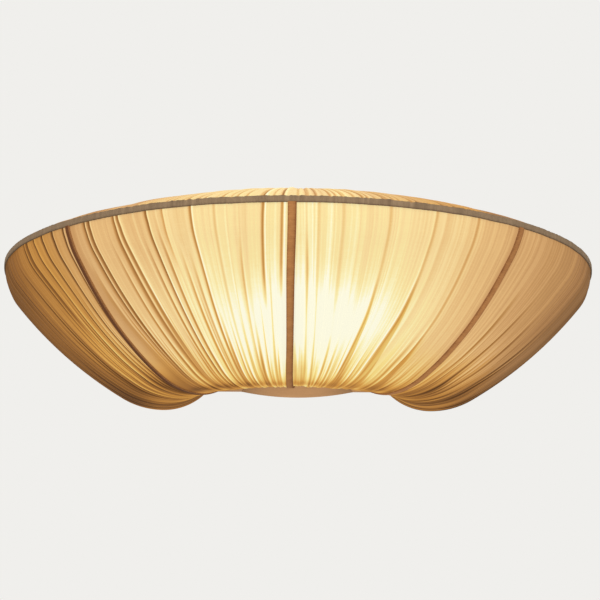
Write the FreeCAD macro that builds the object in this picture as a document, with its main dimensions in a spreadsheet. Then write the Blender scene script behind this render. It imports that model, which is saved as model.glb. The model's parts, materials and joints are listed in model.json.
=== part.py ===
import FreeCAD, Part
import Sketcher
import math
import os
from FreeCAD import Placement, Rotation, Vector

# Half-round wall lamp: pleated shade on a wire frame, pulled off forwards over a wall plate with two lampholders.
# Millimetres. X right, Y into the wall, Z up. Origin: middle of the wall plate's back face, at the rim's height.
SIZES = [
    # Outline of the shade's lower side, from the rim down to the recess in the bottom
    ("rim_rad", 309), ("shoulder_rad", 50), ("flank_rad", 436), ("foot_rad", 85), ("crest_share", 0.452427),
    ("return_rad", 62), ("return_angle", 132), ("return_run", 6),
    # Upper side: a cone up to the open top
    ("top_share", 0.36246), ("top_rise", 67), ("wall_gap", 2),
    # Cloth, lining and wire
    ("pleat_deep", 2.4), ("pleat_lead_share", 0.25), ("cloth_thick", 0.7), ("cloth_gap", 0.15), ("lining_thick", 0.7), ("wire_rad", 1.75),
    ("wire_gap", 0.25), ("weld_gap", 0.04), ("pleat_count", 14), ("panel_count", 2), ("panel_gap", 0.15),
    # Tapes, bottom disc and cap
    ("ribbon_high", 6.5), ("ribbon_lap", 0.6), ("tape_thick", 0.8), ("tape_wide", 6), ("tape_gap", 0.1),
    ("disc_thick", 1.5), ("disc_gap", 0.3), ("cap_rad", 58), ("cap_drop", 6), ("cap_thick", 1.4),
    # Wall plate
    ("plate_edge", 10), ("plate_gap", 1.26), ("plate_thick", 1.5), ("plate_lip", 9), ("plate_corner", 8),
    ("slot_space", 120), ("slot_wide", 5.5), ("slot_long", 10), ("slot_drop", 34),
    ("cable_drop", 22), ("cable_hole_rad", 7), ("grommet_bore_rad", 4), ("grommet_flange", 2),
    ("grommet_long", 8), ("grommet_lip", 1.6), ("cut_over", 2),
    # Fixings of the shade
    ("nut_share", 0.2589), ("nut_rad", 5), ("stud_rad", 2), ("stud_gap", 0.05), ("stud_long", 5.2),
    ("lug_thick", 1.5), ("lug_high", 14), ("lug_end", 7.5), ("lug_reach", 1.2), ("knob_rad", 7), ("knob_high", 8),
    ("knob_seat_rad", 4.5), ("knob_seat", 0.2), ("knob_step", 1.5), ("knurl_deep", 0.6), ("knurl_count", 20),
    ("knurl_rad", 1),
    # Lamp bracket
    ("shelf_level", 28), ("shelf_thick", 2), ("shelf_reach", 104), ("shelf_wide", 136), ("shelf_lip", 9),
    ("foot_high", 18), ("bracket_screw_space", 100), ("wire_slot_wide", 26), ("wire_slot_deep", 9),
    ("wire_slot_back", 6),
    # Lampholders
    ("lamp_space", 76), ("lamp_out", 70), ("holder_rad", 20), ("holder_high", 52), ("holder_shoulder", 18),
    ("holder_top_rad", 12), ("holder_ceiling", 23), ("holder_wall", 5.8), ("holder_rim", 3), ("shell_thick", 0.5),
    ("shell_high", 19), ("shell_gap", 0.08), ("contact_rad", 5), ("contact_high", 3.6), ("contact_thick", 0.8),
    ("nipple_rad", 5), ("nipple_bore", 3.6), ("nipple_sink", 7), ("nipple_out", 7), ("nut_flat", 14), ("nut_high", 3),
    # Bulbs
    ("glass_rad", 30), ("glass_thick", 1), ("neck_run", 5), ("neck_rad", 12.3), ("bulb_long", 109),
    ("cap_out_rad", 13.2), ("cap_high", 21), ("cap_wall", 0.6), ("thread_pitch", 3.6), ("thread_deep", 0.7),
    ("thread_count", 4), ("plug_rad", 9.5), ("plug_top_rad", 5.5), ("plug_high", 3.4), ("pip_rad", 4.6),
    ("pip_high", 1), ("bulb_gap", 13.5),
    # Terminal block, earth point, screws and wires
    ("block_wide", 34), ("block_deep", 17), ("block_high", 18), ("block_gap", 6), ("pole_space", 9),
    ("pole_rad", 2.4), ("entry_rad", 1.6), ("entry_deep", 12), ("entry_out", 7), ("pole_deep", 6), ("block_edge", 1),
    ("screw_rad", 1.95), ("screw_head_rad", 3.6), ("screw_head", 2.4), ("screw_slot", 0.9), ("screw_slot_deep", 1),
    ("screw_grip", 4), ("pole_screw_rad", 2.1), ("pole_screw_high", 4), ("earth_out", 46), ("earth_drop", 8),
    ("washer_rad", 4.5), ("washer_thick", 0.8), ("ring_rad", 4), ("ring_thick", 0.8), ("ring_tail", 9),
    ("cord_rad", 0.95), ("cord_bend", 9.5), ("cord_rise", 20), ("cord_pair", 1.3), ("hole_gap", 0.15),
]


class Size:
    """A length or count with the sheet expression that gives it."""

    def __init__(self, value, text):
        self.value, self.text = float(value), text

    def __float__(self):
        return self.value

    def joined(self, other, sign, value):
        return Size(value, "(%s %s %s)" % (self.text, sign, size(other).text))

    def __add__(self, other):
        return self.joined(other, "+", self.value + float(other))

    def __sub__(self, other):
        return self.joined(other, "-", self.value - float(other))

    def __mul__(self, other):
        return self.joined(other, "*", self.value * float(other))

    def __truediv__(self, other):
        return self.joined(other, "/", self.value / float(other))

    def __radd__(self, other):
        return size(other) + self

    def __rsub__(self, other):
        return size(other) - self

    def __rmul__(self, other):
        return size(other) * self

    def __neg__(self):
        return size(0) - self


def size(value):
    return value if isinstance(value, Size) else Size(value, repr(value))


def cosd(turn):
    return Size(math.cos(math.radians(float(turn))), "cos(%s * 1deg)" % size(turn).text)


def sind(turn):
    return Size(math.sin(math.radians(float(turn))), "sin(%s * 1deg)" % size(turn).text)


def root(value):
    return Size(math.sqrt(float(value)), "sqrt(%s)" % size(value).text)


def slope_of(rise, run):
    return Size(math.degrees(math.atan(float(rise) / float(run))), "(atan(%s / %s) / 1deg)" % (rise.text, run.text))


doc = FreeCAD.newDocument("wall_lamp")
sheet = doc.addObject("Spreadsheet::Sheet", "Sizes")
for row, (alias, value) in enumerate(SIZES, 1):
    sheet.set("A%d" % row, alias)
    sheet.set("B%d" % row, str(value))
    sheet.setAlias("B%d" % row, alias)
doc.recompute()


class Sizes:
    def __getattr__(self, alias):
        return Size(sheet.get(alias), "Sizes." + alias)


S = Sizes()
nodes = []


def keep(obj, label):
    obj.Label = label
    nodes.append(obj)
    return obj


def bind(obj, **sizes):
    for name, value in sizes.items():
        obj.setExpression(name.replace("__", "."), size(value).text)
    return obj


def at(obj, x=0, y=0, z=0):
    return bind(obj, Placement__Base__x=x, Placement__Base__y=y, Placement__Base__z=z)


def new_body(name):
    return doc.addObject("PartDesign::Body", name)


def sketch_on(body, name, role, lift=0):
    sk = body.newObject("Sketcher::SketchObject", name)
    plane = [o for o in body.Origin.OriginFeatures if o.Role == role][0]
    sk.AttachmentSupport = [(plane, "")]
    sk.MapMode = "FlatFace"
    return bind(sk, AttachmentOffset__Base__z=lift)


def pin_point(sk, geo, pos, x, y):
    """Fix one point of a sketch at x, y, each bound to the sheet."""
    for kind, axis, value in (("DistanceX", -2, x), ("DistanceY", -1, y)):
        value = size(value)
        if value.text in ("0", "0.0"):
            sk.addConstraint(Sketcher.Constraint("PointOnObject", geo, pos, axis))
        else:
            number = sk.addConstraint(Sketcher.Constraint(kind, -1, 1, geo, pos, value.value))
            sk.setExpression("Constraints[%d]" % number, value.text)


def outline(sk, points, arcs=None):
    """Closed outline through points; arcs maps an edge's number to its (radius, centre x, centre y)."""
    arcs = arcs or {}
    starts, ends = [], []
    for i, (x, y) in enumerate(points):
        a = Vector(float(x), float(y), 0)
        b = Vector(*[float(c) for c in points[(i + 1) % len(points)]], 0)
        if i not in arcs:
            geo = sk.addGeometry(Part.LineSegment(a, b), False)
            starts.append((geo, 1)), ends.append((geo, 2))
            continue
        radius, cx, cy = arcs[i]
        centre = Vector(float(cx), float(cy), 0)
        t0, t1 = [math.atan2((p - centre).y, (p - centre).x) for p in (a, b)]
        left = (t1 - t0) % (2 * math.pi) < math.pi
        first, last = (t0, t1) if left else (t1, t0)
        circle = Part.Circle(centre, Vector(0, 0, 1), float(radius))
        geo = sk.addGeometry(Part.ArcOfCircle(circle, first, last), False)
        starts.append((geo, 1 if left else 2)), ends.append((geo, 2 if left else 1))
    for i, (x, y) in enumerate(points):
        sk.addConstraint(Sketcher.Constraint("Coincident", *ends[i - 1], *starts[i]))
        pin_point(sk, *starts[i], x, y)
    for i, (radius, cx, cy) in arcs.items():
        number = sk.addConstraint(Sketcher.Constraint("Radius", starts[i][0], float(radius)))
        sk.setExpression("Constraints[%d]" % number, size(radius).text)
    return sk


def rectangle(sk, x0, y0, x1, y1):
    return outline(sk, [(x0, y0), (x1, y0), (x1, y1), (x0, y1)])


def circle(sk, x, y, radius):
    geo = sk.addGeometry(Part.Circle(Vector(float(x), float(y), 0), Vector(0, 0, 1), float(radius)), False)
    pin_point(sk, geo, 3, x, y)
    number = sk.addConstraint(Sketcher.Constraint("Radius", geo, float(radius)))
    sk.setExpression("Constraints[%d]" % number, size(radius).text)
    return sk


def rounded(sk, x0, y0, x1, y1, radius):
    """Rectangle with round corners."""
    xs, ys = (x0, x0 + radius, x1 - radius, x1), (y0, y0 + radius, y1 - radius, y1)
    points = [(xs[1], y0), (xs[2], y0), (x1, ys[1]), (x1, ys[2]), (xs[2], y1), (xs[1], y1), (x0, ys[2]), (x0, ys[1])]
    arcs = {1: (radius, xs[2], ys[1]), 3: (radius, xs[2], ys[2]), 5: (radius, xs[1], ys[2]), 7: (radius, xs[1], ys[1])}
    return outline(sk, points, arcs)


def pad(body, sk, length):
    feature = bind(body.newObject("PartDesign::Pad", "Pad"), Length=0)
    feature.Profile = sk
    return bind(feature, Length=length)


def pocket(body, sk, length, along=True):
    """Cut a sketch's shape out, along the sketch's normal or against it; it must take something away."""
    doc.recompute()
    before = body.Shape.Volume
    feature = body.newObject("PartDesign::Pocket", "Pocket")
    feature.Profile = sk
    feature.Reversed = along
    bind(feature, Length=length)
    doc.recompute()
    if body.Shape.Volume >= before:
        raise RuntimeError("nothing was cut from " + body.Label)
    return feature


def turned(name, points, arcs=None, turn=360):
    """Body turned about Z from an outline of (radius, height) points."""
    body = new_body(name)
    sk = outline(sketch_on(body, name + "_outline", "XZ_Plane"), points, arcs)
    feature = body.newObject("PartDesign::Revolution", "Revolution")
    feature.Profile = sk
    feature.ReferenceAxis = (sk, ["V_Axis"])
    feature.Angle = turn
    return body


def group(label, members):
    compound = doc.addObject("Part::Compound", label)
    compound.Links = members
    return keep(compound, label)


def feature_of(label, shape, place=None):
    obj = doc.addObject("Part::Feature", label)
    obj.Shape = shape
    obj.Placement = place or Placement()
    return keep(obj, label)


CLOTH_DEEP = S.pleat_deep + S.cloth_thick + S.cloth_gap
LINING_DEEP = CLOTH_DEEP + S.lining_thick
RIB_DEEP = LINING_DEEP + S.wire_gap + S.wire_rad
RING_DEEP = RIB_DEEP + 2 * S.wire_rad + S.weld_gap
SHADE_PLACE = Vector(0, -float(S.wall_gap), 0)
RADII = (S.shoulder_rad, S.flank_rad, S.foot_rad, S.return_rad)
TOP_RAD = S.rim_rad * S.top_share
SLOPE = slope_of(S.top_rise, S.rim_rad - TOP_RAD)
# Places that follow one another: bulb, bottom disc and crest down from the shelf, block and inlet down the plate
BULB_TIP = S.shelf_level - S.holder_ceiling - S.contact_high - S.stud_gap
DISC_LEVEL = BULB_TIP - S.bulb_long - S.bulb_gap - S.disc_thick
RETURN_LEVEL = (DISC_LEVEL - S.disc_gap + S.return_rad * sind(S.return_angle) + S.return_run * cosd(S.return_angle))
CREST = (S.rim_rad * S.crest_share, RETURN_LEVEL - S.return_rad)
BRACKET_SCREW_LEVEL = S.shelf_level - S.foot_high / 2
BLOCK_TOP = S.shelf_level - S.foot_high - S.block_gap
BLOCK_LOW = BLOCK_TOP - S.block_high
BLOCK_FIXING = BLOCK_LOW + S.screw_head_rad + S.block_edge
BLOCK_SCREW_OUT = S.pole_space / 2
POLES = (-S.pole_space, size(0), S.pole_space)
CABLE_LEVEL = BLOCK_LOW - S.cable_drop
EARTH_LEVEL = BLOCK_LOW - S.earth_drop
NUT_OUT = S.rim_rad * S.nut_share
PLATE_LOW = CABLE_LEVEL - S.cable_hole_rad - S.grommet_flange - S.plate_edge
PLATE_TOP = S.top_rise - RING_DEEP * cosd(SLOPE) - S.wire_rad - S.plate_gap


def arcs_of_outline():
    """Centres and end angles of the lower outline's arcs; the flank touches the shoulder and the foot."""
    shoulder = (S.rim_rad - S.shoulder_rad, size(0))
    foot = (CREST[0], CREST[1] + S.foot_rad)
    near, far = float(S.flank_rad - S.shoulder_rad), float(S.flank_rad - S.foot_rad)
    across, down = float(shoulder[0] - foot[0]), float(shoulder[1] - foot[1])
    apart = math.hypot(across, down)
    lean = math.acos((near * near + apart * apart - far * far) / (2 * near * apart))
    first = math.degrees(lean - math.atan2(down, across))
    flank = (shoulder[0] - near * cosd(first), near * sind(first))
    second = math.degrees(math.asin(float(flank[1] - foot[1]) / far))
    right = math.degrees(math.pi / 2)
    return [shoulder, flank, foot, (CREST[0], RETURN_LEVEL)], (first, second, right, S.return_angle)


CENTRES, TURNS = arcs_of_outline()


def lower_point(arc, turn, deep, run=0):
    """Point of the lower outline on one arc, at a depth inside the outer face, then a straight run on."""
    r, z = CENTRES[arc]
    rad = RADII[arc] - deep
    return (r + rad * cosd(turn) - run * sind(turn), z - rad * sind(turn) - run * cosd(turn))


def rim_turn(deep):
    """Where the upper side's outline at the same depth meets the shoulder."""
    slope = math.radians(float(SLOPE))
    shoulder = float(S.shoulder_rad)
    return float(SLOPE) - math.degrees(math.asin((shoulder * math.sin(slope) - float(deep)) / (shoulder - float(deep))))


def lower_spans(deep, run=None):
    """The lower outline at a depth: three points to an arc, two to the last straight run."""
    bounds = [rim_turn(deep)] + [float(t) for t in TURNS]
    spans = []
    for arc, (a, b) in enumerate(zip(bounds, bounds[1:])):
        spans.append([lower_point(arc, t, deep) for t in (a, (a + b) / 2, b)])
    last = len(RADII) - 1
    spans.append([spans[-1][2], lower_point(last, S.return_angle, deep, run or S.return_run)])
    return [[(float(r), float(z)) for r, z in span] for span in spans]


def top_point(deep):
    """Top end of the upper outline at a depth."""
    return (TOP_RAD - deep * sind(SLOPE), S.top_rise - deep * cosd(SLOPE))


def upper_spans(deep):
    """The upper outline at a depth: one straight run from the rim to the top."""
    ends = lower_point(0, rim_turn(deep), deep), top_point(deep)
    return [[(float(r), float(z)) for r, z in ends]]


def meridian(point, turn):
    r, z = point
    return Vector(r * math.sin(math.radians(turn)), -r * math.cos(math.radians(turn)), z)


def edge(span, turn):
    points = [meridian(p, turn) for p in span]
    if len(points) == 3:
        return Part.Arc(*points).toShape()
    return Part.LineSegment(*points).toShape()


def layer_wire(spans, deep, thick, turn):
    """Closed outline of a layer of cloth in the plane of one meridian."""
    outer, inner = spans(deep), spans(deep + thick)
    back = [span[::-1] for span in inner[::-1]]
    joins = [[outer[-1][-1], back[0][0]], [back[-1][-1], outer[0][0]]]
    return Part.Wire([edge(s, turn) for s in outer + joins[:1] + back + joins[1:]])


def half_turned(wire):
    return Part.Face(wire).revolve(Vector(0, 0, 0), Vector(0, 0, 1), 180)


def wall_plate():
    body = new_body("wall_plate")
    x, low, top = NUT_OUT + S.plate_edge, PLATE_LOW, PLATE_TOP
    pad(body, rounded(sketch_on(body, "PlateOutline", "XZ_Plane"), -x, low, x, top, S.plate_corner), S.plate_thick)
    flat = x - S.plate_corner
    for name, low, high in (("TopLip", top - S.plate_thick, top), ("BottomLip", low, low + S.plate_thick)):
        pad(body, rectangle(sketch_on(body, name, "XZ_Plane"), -flat, low, flat, high), S.plate_lip)
    through = S.plate_thick + S.cut_over
    holes = sketch_on(body, "Holes", "XZ_Plane", -S.cut_over)
    circle(holes, 0, CABLE_LEVEL, S.cable_hole_rad)
    circle(holes, S.earth_out, EARTH_LEVEL, S.screw_rad + S.stud_gap)
    for side in (-1, 1):
        circle(holes, side * NUT_OUT, 0, S.stud_rad + S.stud_gap)
        circle(holes, side * S.bracket_screw_space / 2, BRACKET_SCREW_LEVEL, S.screw_rad + S.stud_gap)
        circle(holes, side * BLOCK_SCREW_OUT, BLOCK_FIXING, S.screw_rad + S.stud_gap)
    pocket(body, holes, through + S.cut_over)
    half, run = S.slot_wide / 2, (S.slot_long - S.slot_wide) / 2
    for side in (-1, 1):
        slot = sketch_on(body, "Slot", "XZ_Plane", -S.cut_over)
        cx, cz = side * S.slot_space / 2, S.shelf_level - S.slot_drop
        ends = [(cx - run, cz - half), (cx + run, cz - half), (cx + run, cz), (cx + run, cz + half),
                (cx - run, cz + half), (cx - run, cz)]
        points = [ends[0], ends[1], (cx + run + half, cz), ends[3], ends[4], (cx - run - half, cz)]
        arcs = {1: (half, cx + run, cz), 2: (half, cx + run, cz), 4: (half, cx - run, cz), 5: (half, cx - run, cz)}
        pocket(body, outline(slot, points, arcs), through + S.cut_over)
    keep(body, "wall_plate")


def cable_grommet():
    bore, hole, flange = S.grommet_bore_rad, S.cable_hole_rad - S.hole_gap, S.cable_hole_rad + S.grommet_flange
    front, back = S.plate_thick + S.stud_gap + S.grommet_lip, S.plate_thick + S.stud_gap
    end = front + S.grommet_long - S.grommet_lip
    nose = (bore + hole) / 2
    points = [(bore, 0), (hole, 0), (hole, back), (flange, back), (flange, front), (hole, front + S.grommet_lip),
              (nose, end), (bore, end)]
    body = turned("cable_grommet", points)
    body.Placement = Placement(Vector(), Rotation(Vector(1, 0, 0), 90))
    at(keep(body, "cable_grommet"), z=CABLE_LEVEL)


def pan_screw(name, x, y, z, grip=None, head_rad=None, head=None):
    """Slotted pan head screw along +Y: the head's seat at y, the shank running to the wall."""
    head_rad, head, shank = head_rad or S.screw_head_rad, head or S.screw_head, S.screw_rad
    edge_z = head / 3
    points = [(0, 0), (head_rad, 0), (head_rad, edge_z), (head_rad - edge_z, head), (0, head)]
    body = turned(name, points)
    if grip:
        pad(body, circle(sketch_on(body, "Shank", "XY_Plane", -grip), 0, 0, shank), grip + head / 2)
    half = S.screw_slot / 2
    cut = rectangle(sketch_on(body, "Slot", "XY_Plane", head - S.screw_slot_deep), -head_rad, -half, head_rad, half)
    pocket(body, cut, S.screw_slot_deep + S.cut_over)
    body.Placement = Placement(Vector(), Rotation(Vector(1, 0, 0), 90))
    return at(body, x, y, z)


def terminal_block():
    body = new_body("terminal_block")
    x, top, low = S.block_wide / 2, BLOCK_TOP, BLOCK_LOW
    face = S.plate_thick + S.stud_gap
    pad(body, rounded(sketch_on(body, "Block", "XZ_Plane", face), -x, low, x, top, S.block_edge), S.block_deep)
    wells = sketch_on(body, "Wells", "XZ_Plane", face + S.block_deep - S.pole_deep)
    for pole in POLES:
        circle(wells, pole, (low + top) / 2, S.pole_rad)
    pocket(body, wells, S.pole_deep + S.cut_over)
    fixing = sketch_on(body, "Fixing", "XZ_Plane", 0)
    for side in (-1, 1):
        circle(fixing, side * BLOCK_SCREW_OUT, BLOCK_FIXING, S.screw_rad + S.stud_gap)
    pocket(body, fixing, face + S.block_deep + S.cut_over)
    for name, level in (("TopEntries", top - S.entry_deep / 2), ("BottomEntries", low - S.cut_over)):
        entries = sketch_on(body, name, "XY_Plane", level)
        for pole in POLES:
            circle(entries, pole, -S.plate_thick - S.entry_out, S.entry_rad)
        pocket(body, entries, S.entry_deep / 2 + S.cut_over)
    keep(body, "terminal_block")


def block_hardware():
    front = S.plate_thick + S.stud_gap + S.block_deep
    screws = []
    for number, pole in enumerate(POLES):
        seat = front - S.pole_deep + S.stud_gap
        screws.append(pan_screw("pole_screw_%d" % number, pole, -seat, (BLOCK_LOW + BLOCK_TOP) / 2, None,
                                S.pole_screw_rad, S.pole_screw_high))
    group("terminal_screws", screws)
    seat = front + S.stud_gap
    group("block_screws", [pan_screw("block_screw_%d" % n, hand * BLOCK_SCREW_OUT, -seat, BLOCK_FIXING,
                                     seat - S.stud_gap) for n, hand in enumerate((-1, 1))])


def lamp_bracket():
    body = new_body("lamp_bracket")
    near, low = S.plate_thick + S.stud_gap, S.shelf_level
    t, far = S.shelf_thick, S.shelf_reach
    x = S.shelf_wide / 2
    side = outline(sketch_on(body, "Side", "YZ_Plane", -x),
                   [(-near, low - S.foot_high), (-near, low + t), (-far, low + t), (-far, low - S.shelf_lip),
                    (t - far, low - S.shelf_lip), (t - far, low), (-near - t, low), (-near - t, low - S.foot_high)])
    pad(body, side, S.shelf_wide)
    holes = sketch_on(body, "NippleHoles", "XY_Plane", low - S.cut_over)
    for hand in (-1, 1):
        circle(holes, hand * S.lamp_space / 2, -S.lamp_out, S.nipple_rad + S.hole_gap)
    pocket(body, holes, t + 2 * S.cut_over)
    back = near + S.wire_slot_back
    slot = sketch_on(body, "WireSlot", "XY_Plane", low - S.cut_over)
    half = S.wire_slot_wide / 2
    rounded(slot, -half, -back - S.wire_slot_deep, half, -back, S.wire_slot_deep / 3)
    pocket(body, slot, t + 2 * S.cut_over)
    screws = sketch_on(body, "ScrewHoles", "XZ_Plane", near - S.cut_over)
    for hand in (-1, 1):
        circle(screws, hand * S.bracket_screw_space / 2, BRACKET_SCREW_LEVEL, S.screw_rad + S.hole_gap)
    pocket(body, screws, t + 2 * S.cut_over)
    keep(body, "lamp_bracket")


def bracket_screws():
    seat = S.plate_thick + S.stud_gap + S.shelf_thick + S.stud_gap
    group("bracket_screws", [pan_screw("bracket_screw_%d" % n, hand * S.bracket_screw_space / 2, -seat,
                                       BRACKET_SCREW_LEVEL, S.screw_grip - S.stud_gap)
                             for n, hand in enumerate((-1, 1))])


def press_nuts():
    """Round threaded bushes on the plate that take the shade's two thumb screws."""
    tall = S.wall_gap + 2 * S.wire_rad - S.plate_thick
    nuts = []
    for number, hand in enumerate((-1, 1)):
        bore = S.stud_rad + S.stud_gap
        body = turned("press_nut_%d" % number, [(bore, 0), (S.nut_rad, 0), (S.nut_rad, tall - S.stud_gap),
                                                (bore, tall - S.stud_gap)])
        body.Placement = Placement(Vector(), Rotation(Vector(1, 0, 0), 90))
        nuts.append(at(body, hand * NUT_OUT, -S.plate_thick, 0))
    group("press_nuts", nuts)


def earth_point():
    ring_y = S.plate_thick + S.stud_gap
    x, z = S.earth_out, EARTH_LEVEL
    bore = S.screw_rad + S.hole_gap
    ring = new_body("earth_ring_terminal")
    sk = circle(circle(sketch_on(ring, "Ring", "XZ_Plane"), 0, 0, S.ring_rad), 0, 0, bore)
    pad(ring, sk, S.ring_thick)
    axis = -S.cord_rad - S.ring_thick
    near = S.washer_rad + S.hole_gap
    tab = rectangle(sketch_on(ring, "Tab", "XZ_Plane"), -near - S.ring_thick, -S.cord_rad, -bore, S.cord_rad)
    pad(ring, tab, S.ring_thick)
    barrel = sketch_on(ring, "Barrel", "YZ_Plane", -S.ring_tail)
    circle(barrel, axis, 0, S.cord_rad + S.ring_thick / 2)
    pad(ring, barrel, S.ring_tail - near)
    hollow = sketch_on(ring, "BarrelBore", "YZ_Plane", -S.ring_tail - S.cut_over)
    circle(hollow, axis, 0, S.cord_rad + S.stud_gap)
    pocket(ring, hollow, (S.ring_tail - near) / 2 + S.cut_over)
    at(keep(ring, "earth_ring_terminal"), x, -ring_y, z)
    washer_y = ring_y + S.ring_thick + S.stud_gap
    washer = turned("earth_washer", [(bore, 0), (S.washer_rad, 0), (S.washer_rad, S.washer_thick), (bore, S.washer_thick)])
    washer.Placement = Placement(Vector(), Rotation(Vector(1, 0, 0), 90))
    seat = washer_y + S.washer_thick + S.stud_gap
    at(keep(washer, "earth_washer"), x, -washer_y, z)
    keep(pan_screw("earth_screw", x, -seat, z, seat - S.stud_gap), "earth_screw")


def lampholder(hand, x):
    """Skirted screw lampholder hanging under the shelf, opening downwards."""
    top, low = S.shelf_level - S.stud_gap, S.shelf_level - S.holder_high
    ceiling = S.shelf_level - S.holder_ceiling
    inner = S.holder_rad - S.holder_wall
    bore = S.nipple_rad + S.stud_gap
    shoulder = S.shelf_level - S.holder_shoulder
    rim = S.holder_rad - S.holder_rim
    blind = top - S.nipple_sink
    points = [(inner, low), (rim, low), (S.holder_rad, low + S.holder_rim), (S.holder_rad, shoulder),
              (S.holder_top_rad, top - S.nipple_sink / 2), (S.holder_top_rad, top), (bore, top), (bore, blind),
              (0, blind), (0, ceiling), (inner, ceiling)]
    at(keep(turned("holder_body_" + hand, points), "holder_body_" + hand), x, -S.lamp_out)
    near, far = S.cap_out_rad + S.shell_gap, inner - S.stud_gap
    lip = S.shell_thick
    shell = [(near, ceiling - S.shell_high), (near + lip, ceiling - S.shell_high), (near + lip, ceiling - 2 * lip),
             (far, ceiling - 2 * lip), (far, ceiling - S.stud_gap), (near, ceiling - S.stud_gap)]
    at(keep(turned("screw_shell_" + hand, shell), "screw_shell_" + hand), x, -S.lamp_out)
    tip, t = ceiling - S.contact_high, S.contact_thick
    contact = [(0, tip), (S.contact_rad / 2, tip), (S.contact_rad, ceiling - t), (S.contact_rad, ceiling - S.stud_gap),
               (0, ceiling - S.stud_gap)]
    at(keep(turned("centre_contact_" + hand, contact), "centre_contact_" + hand), x, -S.lamp_out)


def hexagon(sk, flat):
    """Hexagon nut outline with two sides along X."""
    h, corner = flat / 2, flat / root(3)
    return outline(sk, [(corner, 0), (corner / 2, h), (-corner / 2, h), (-corner, 0), (-corner / 2, -h), (corner / 2, -h)])


def nipples_and_nuts():
    nipples, nuts = [], []
    top = S.shelf_level + S.shelf_thick
    for number, hand in enumerate((-1, 1)):
        x = hand * S.lamp_space / 2
        low, high = S.shelf_level - S.nipple_sink, top + S.nipple_out
        tube = [(S.nipple_bore, low), (S.nipple_rad, low), (S.nipple_rad, high), (S.nipple_bore, high)]
        nipples.append(at(turned("nipple_%d" % number, tube), x, -S.lamp_out))
        nut = new_body("locknut_%d" % number)
        sk = hexagon(sketch_on(nut, "Nut", "XY_Plane", top + S.stud_gap), S.nut_flat)
        pad(nut, circle(sk, 0, 0, S.nipple_rad + S.stud_gap), S.nut_high)
        nuts.append(at(nut, x, -S.lamp_out))
    group("holder_nipples", nipples)
    group("holder_locknuts", nuts)


def bulb(hand, x):
    tip = BULB_TIP
    plug_top = tip - S.pip_high
    cap_top = plug_top - S.plug_high
    cap_low = cap_top - S.cap_high
    low = tip - S.bulb_long
    t, globe, neck = S.glass_thick, S.glass_rad, S.neck_rad
    mid, nz = low + globe, cap_low - S.neck_run
    rise = nz - mid
    bend = (neck * neck + rise * rise - globe * globe) / (2 * (globe - neck))
    touch = globe / (globe + bend)
    gx, gz = (neck + bend) * touch, mid + rise * touch
    seat = cap_top - S.cap_wall - S.stud_gap
    inner = (globe - t) / globe
    ix, iz = gx * inner, mid + (gz - mid) * inner
    points = [(0, low), (gx, gz), (neck, nz), (neck, seat), (neck - t, seat), (neck - t, nz), (ix, iz), (0, low + t)]
    arcs = {0: (globe, 0, mid), 1: (bend, neck + bend, nz), 5: (bend + t, neck + bend, nz), 6: (globe - t, 0, mid)}
    at(keep(turned("bulb_glass_" + hand, points, arcs), "bulb_glass_" + hand), x, -S.lamp_out)
    out, wall = S.cap_out_rad, S.cap_wall
    near = neck + S.stud_gap
    points = [(near, cap_low), (out, cap_low)]
    start = cap_top - S.thread_count * S.thread_pitch
    for n in range(int(float(S.thread_count))):
        z = start + n * S.thread_pitch
        points += [(out, z), (out - S.thread_deep, z + S.thread_pitch / 2)]
    points += [(out, cap_top - S.thread_deep), (out - S.thread_deep, cap_top), (S.plug_rad, cap_top),
               (S.plug_rad, cap_top - wall), (near, cap_top - wall)]
    at(keep(turned("bulb_cap_" + hand, points), "bulb_cap_" + hand), x, -S.lamp_out)
    sink = cap_top - wall
    plug = [(0, sink), (S.plug_rad - S.stud_gap, sink), (S.plug_rad - S.stud_gap, cap_top), (S.plug_top_rad, plug_top),
            (0, plug_top)]
    at(keep(turned("bulb_insulator_" + hand, plug), "bulb_insulator_" + hand), x, -S.lamp_out)
    edge_r = S.pip_rad - S.pip_high / 2
    pip = [(0, plug_top), (S.pip_rad, plug_top), (S.pip_rad, plug_top + S.pip_high / 2), (edge_r, tip), (0, tip)]
    at(keep(turned("bulb_contact_" + hand, pip), "bulb_contact_" + hand), x, -S.lamp_out)


def cord_path(points, bend):
    """Straight runs joined by tangent arcs of one radius."""
    points = [Vector(*[float(c) for c in p]) for p in points]
    edges, here = [], points[0]
    for before, corner, after in zip(points, points[1:], points[2:]):
        a, b = (before - corner).normalize(), (after - corner).normalize()
        half = a.getAngle(b) / 2
        cut = float(bend) / math.tan(half)
        p, q = corner + a * cut, corner + b * cut
        middle = corner + (a + b).normalize() * (float(bend) / math.sin(half) - float(bend))
        edges += [Part.LineSegment(here, p).toShape(), Part.Arc(p, middle, q).toShape()]
        here = q
    edges.append(Part.LineSegment(here, points[-1]).toShape())
    return Part.Wire(edges)


def tube(path, radius):
    """Round tube along a wire."""
    start = path.Edges[0]
    ring = Part.Wire(Part.makeCircle(float(radius), start.valueAt(start.FirstParameter),
                                     start.tangentAt(start.FirstParameter)))
    return path.makePipeShell([ring], True, False)


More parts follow.
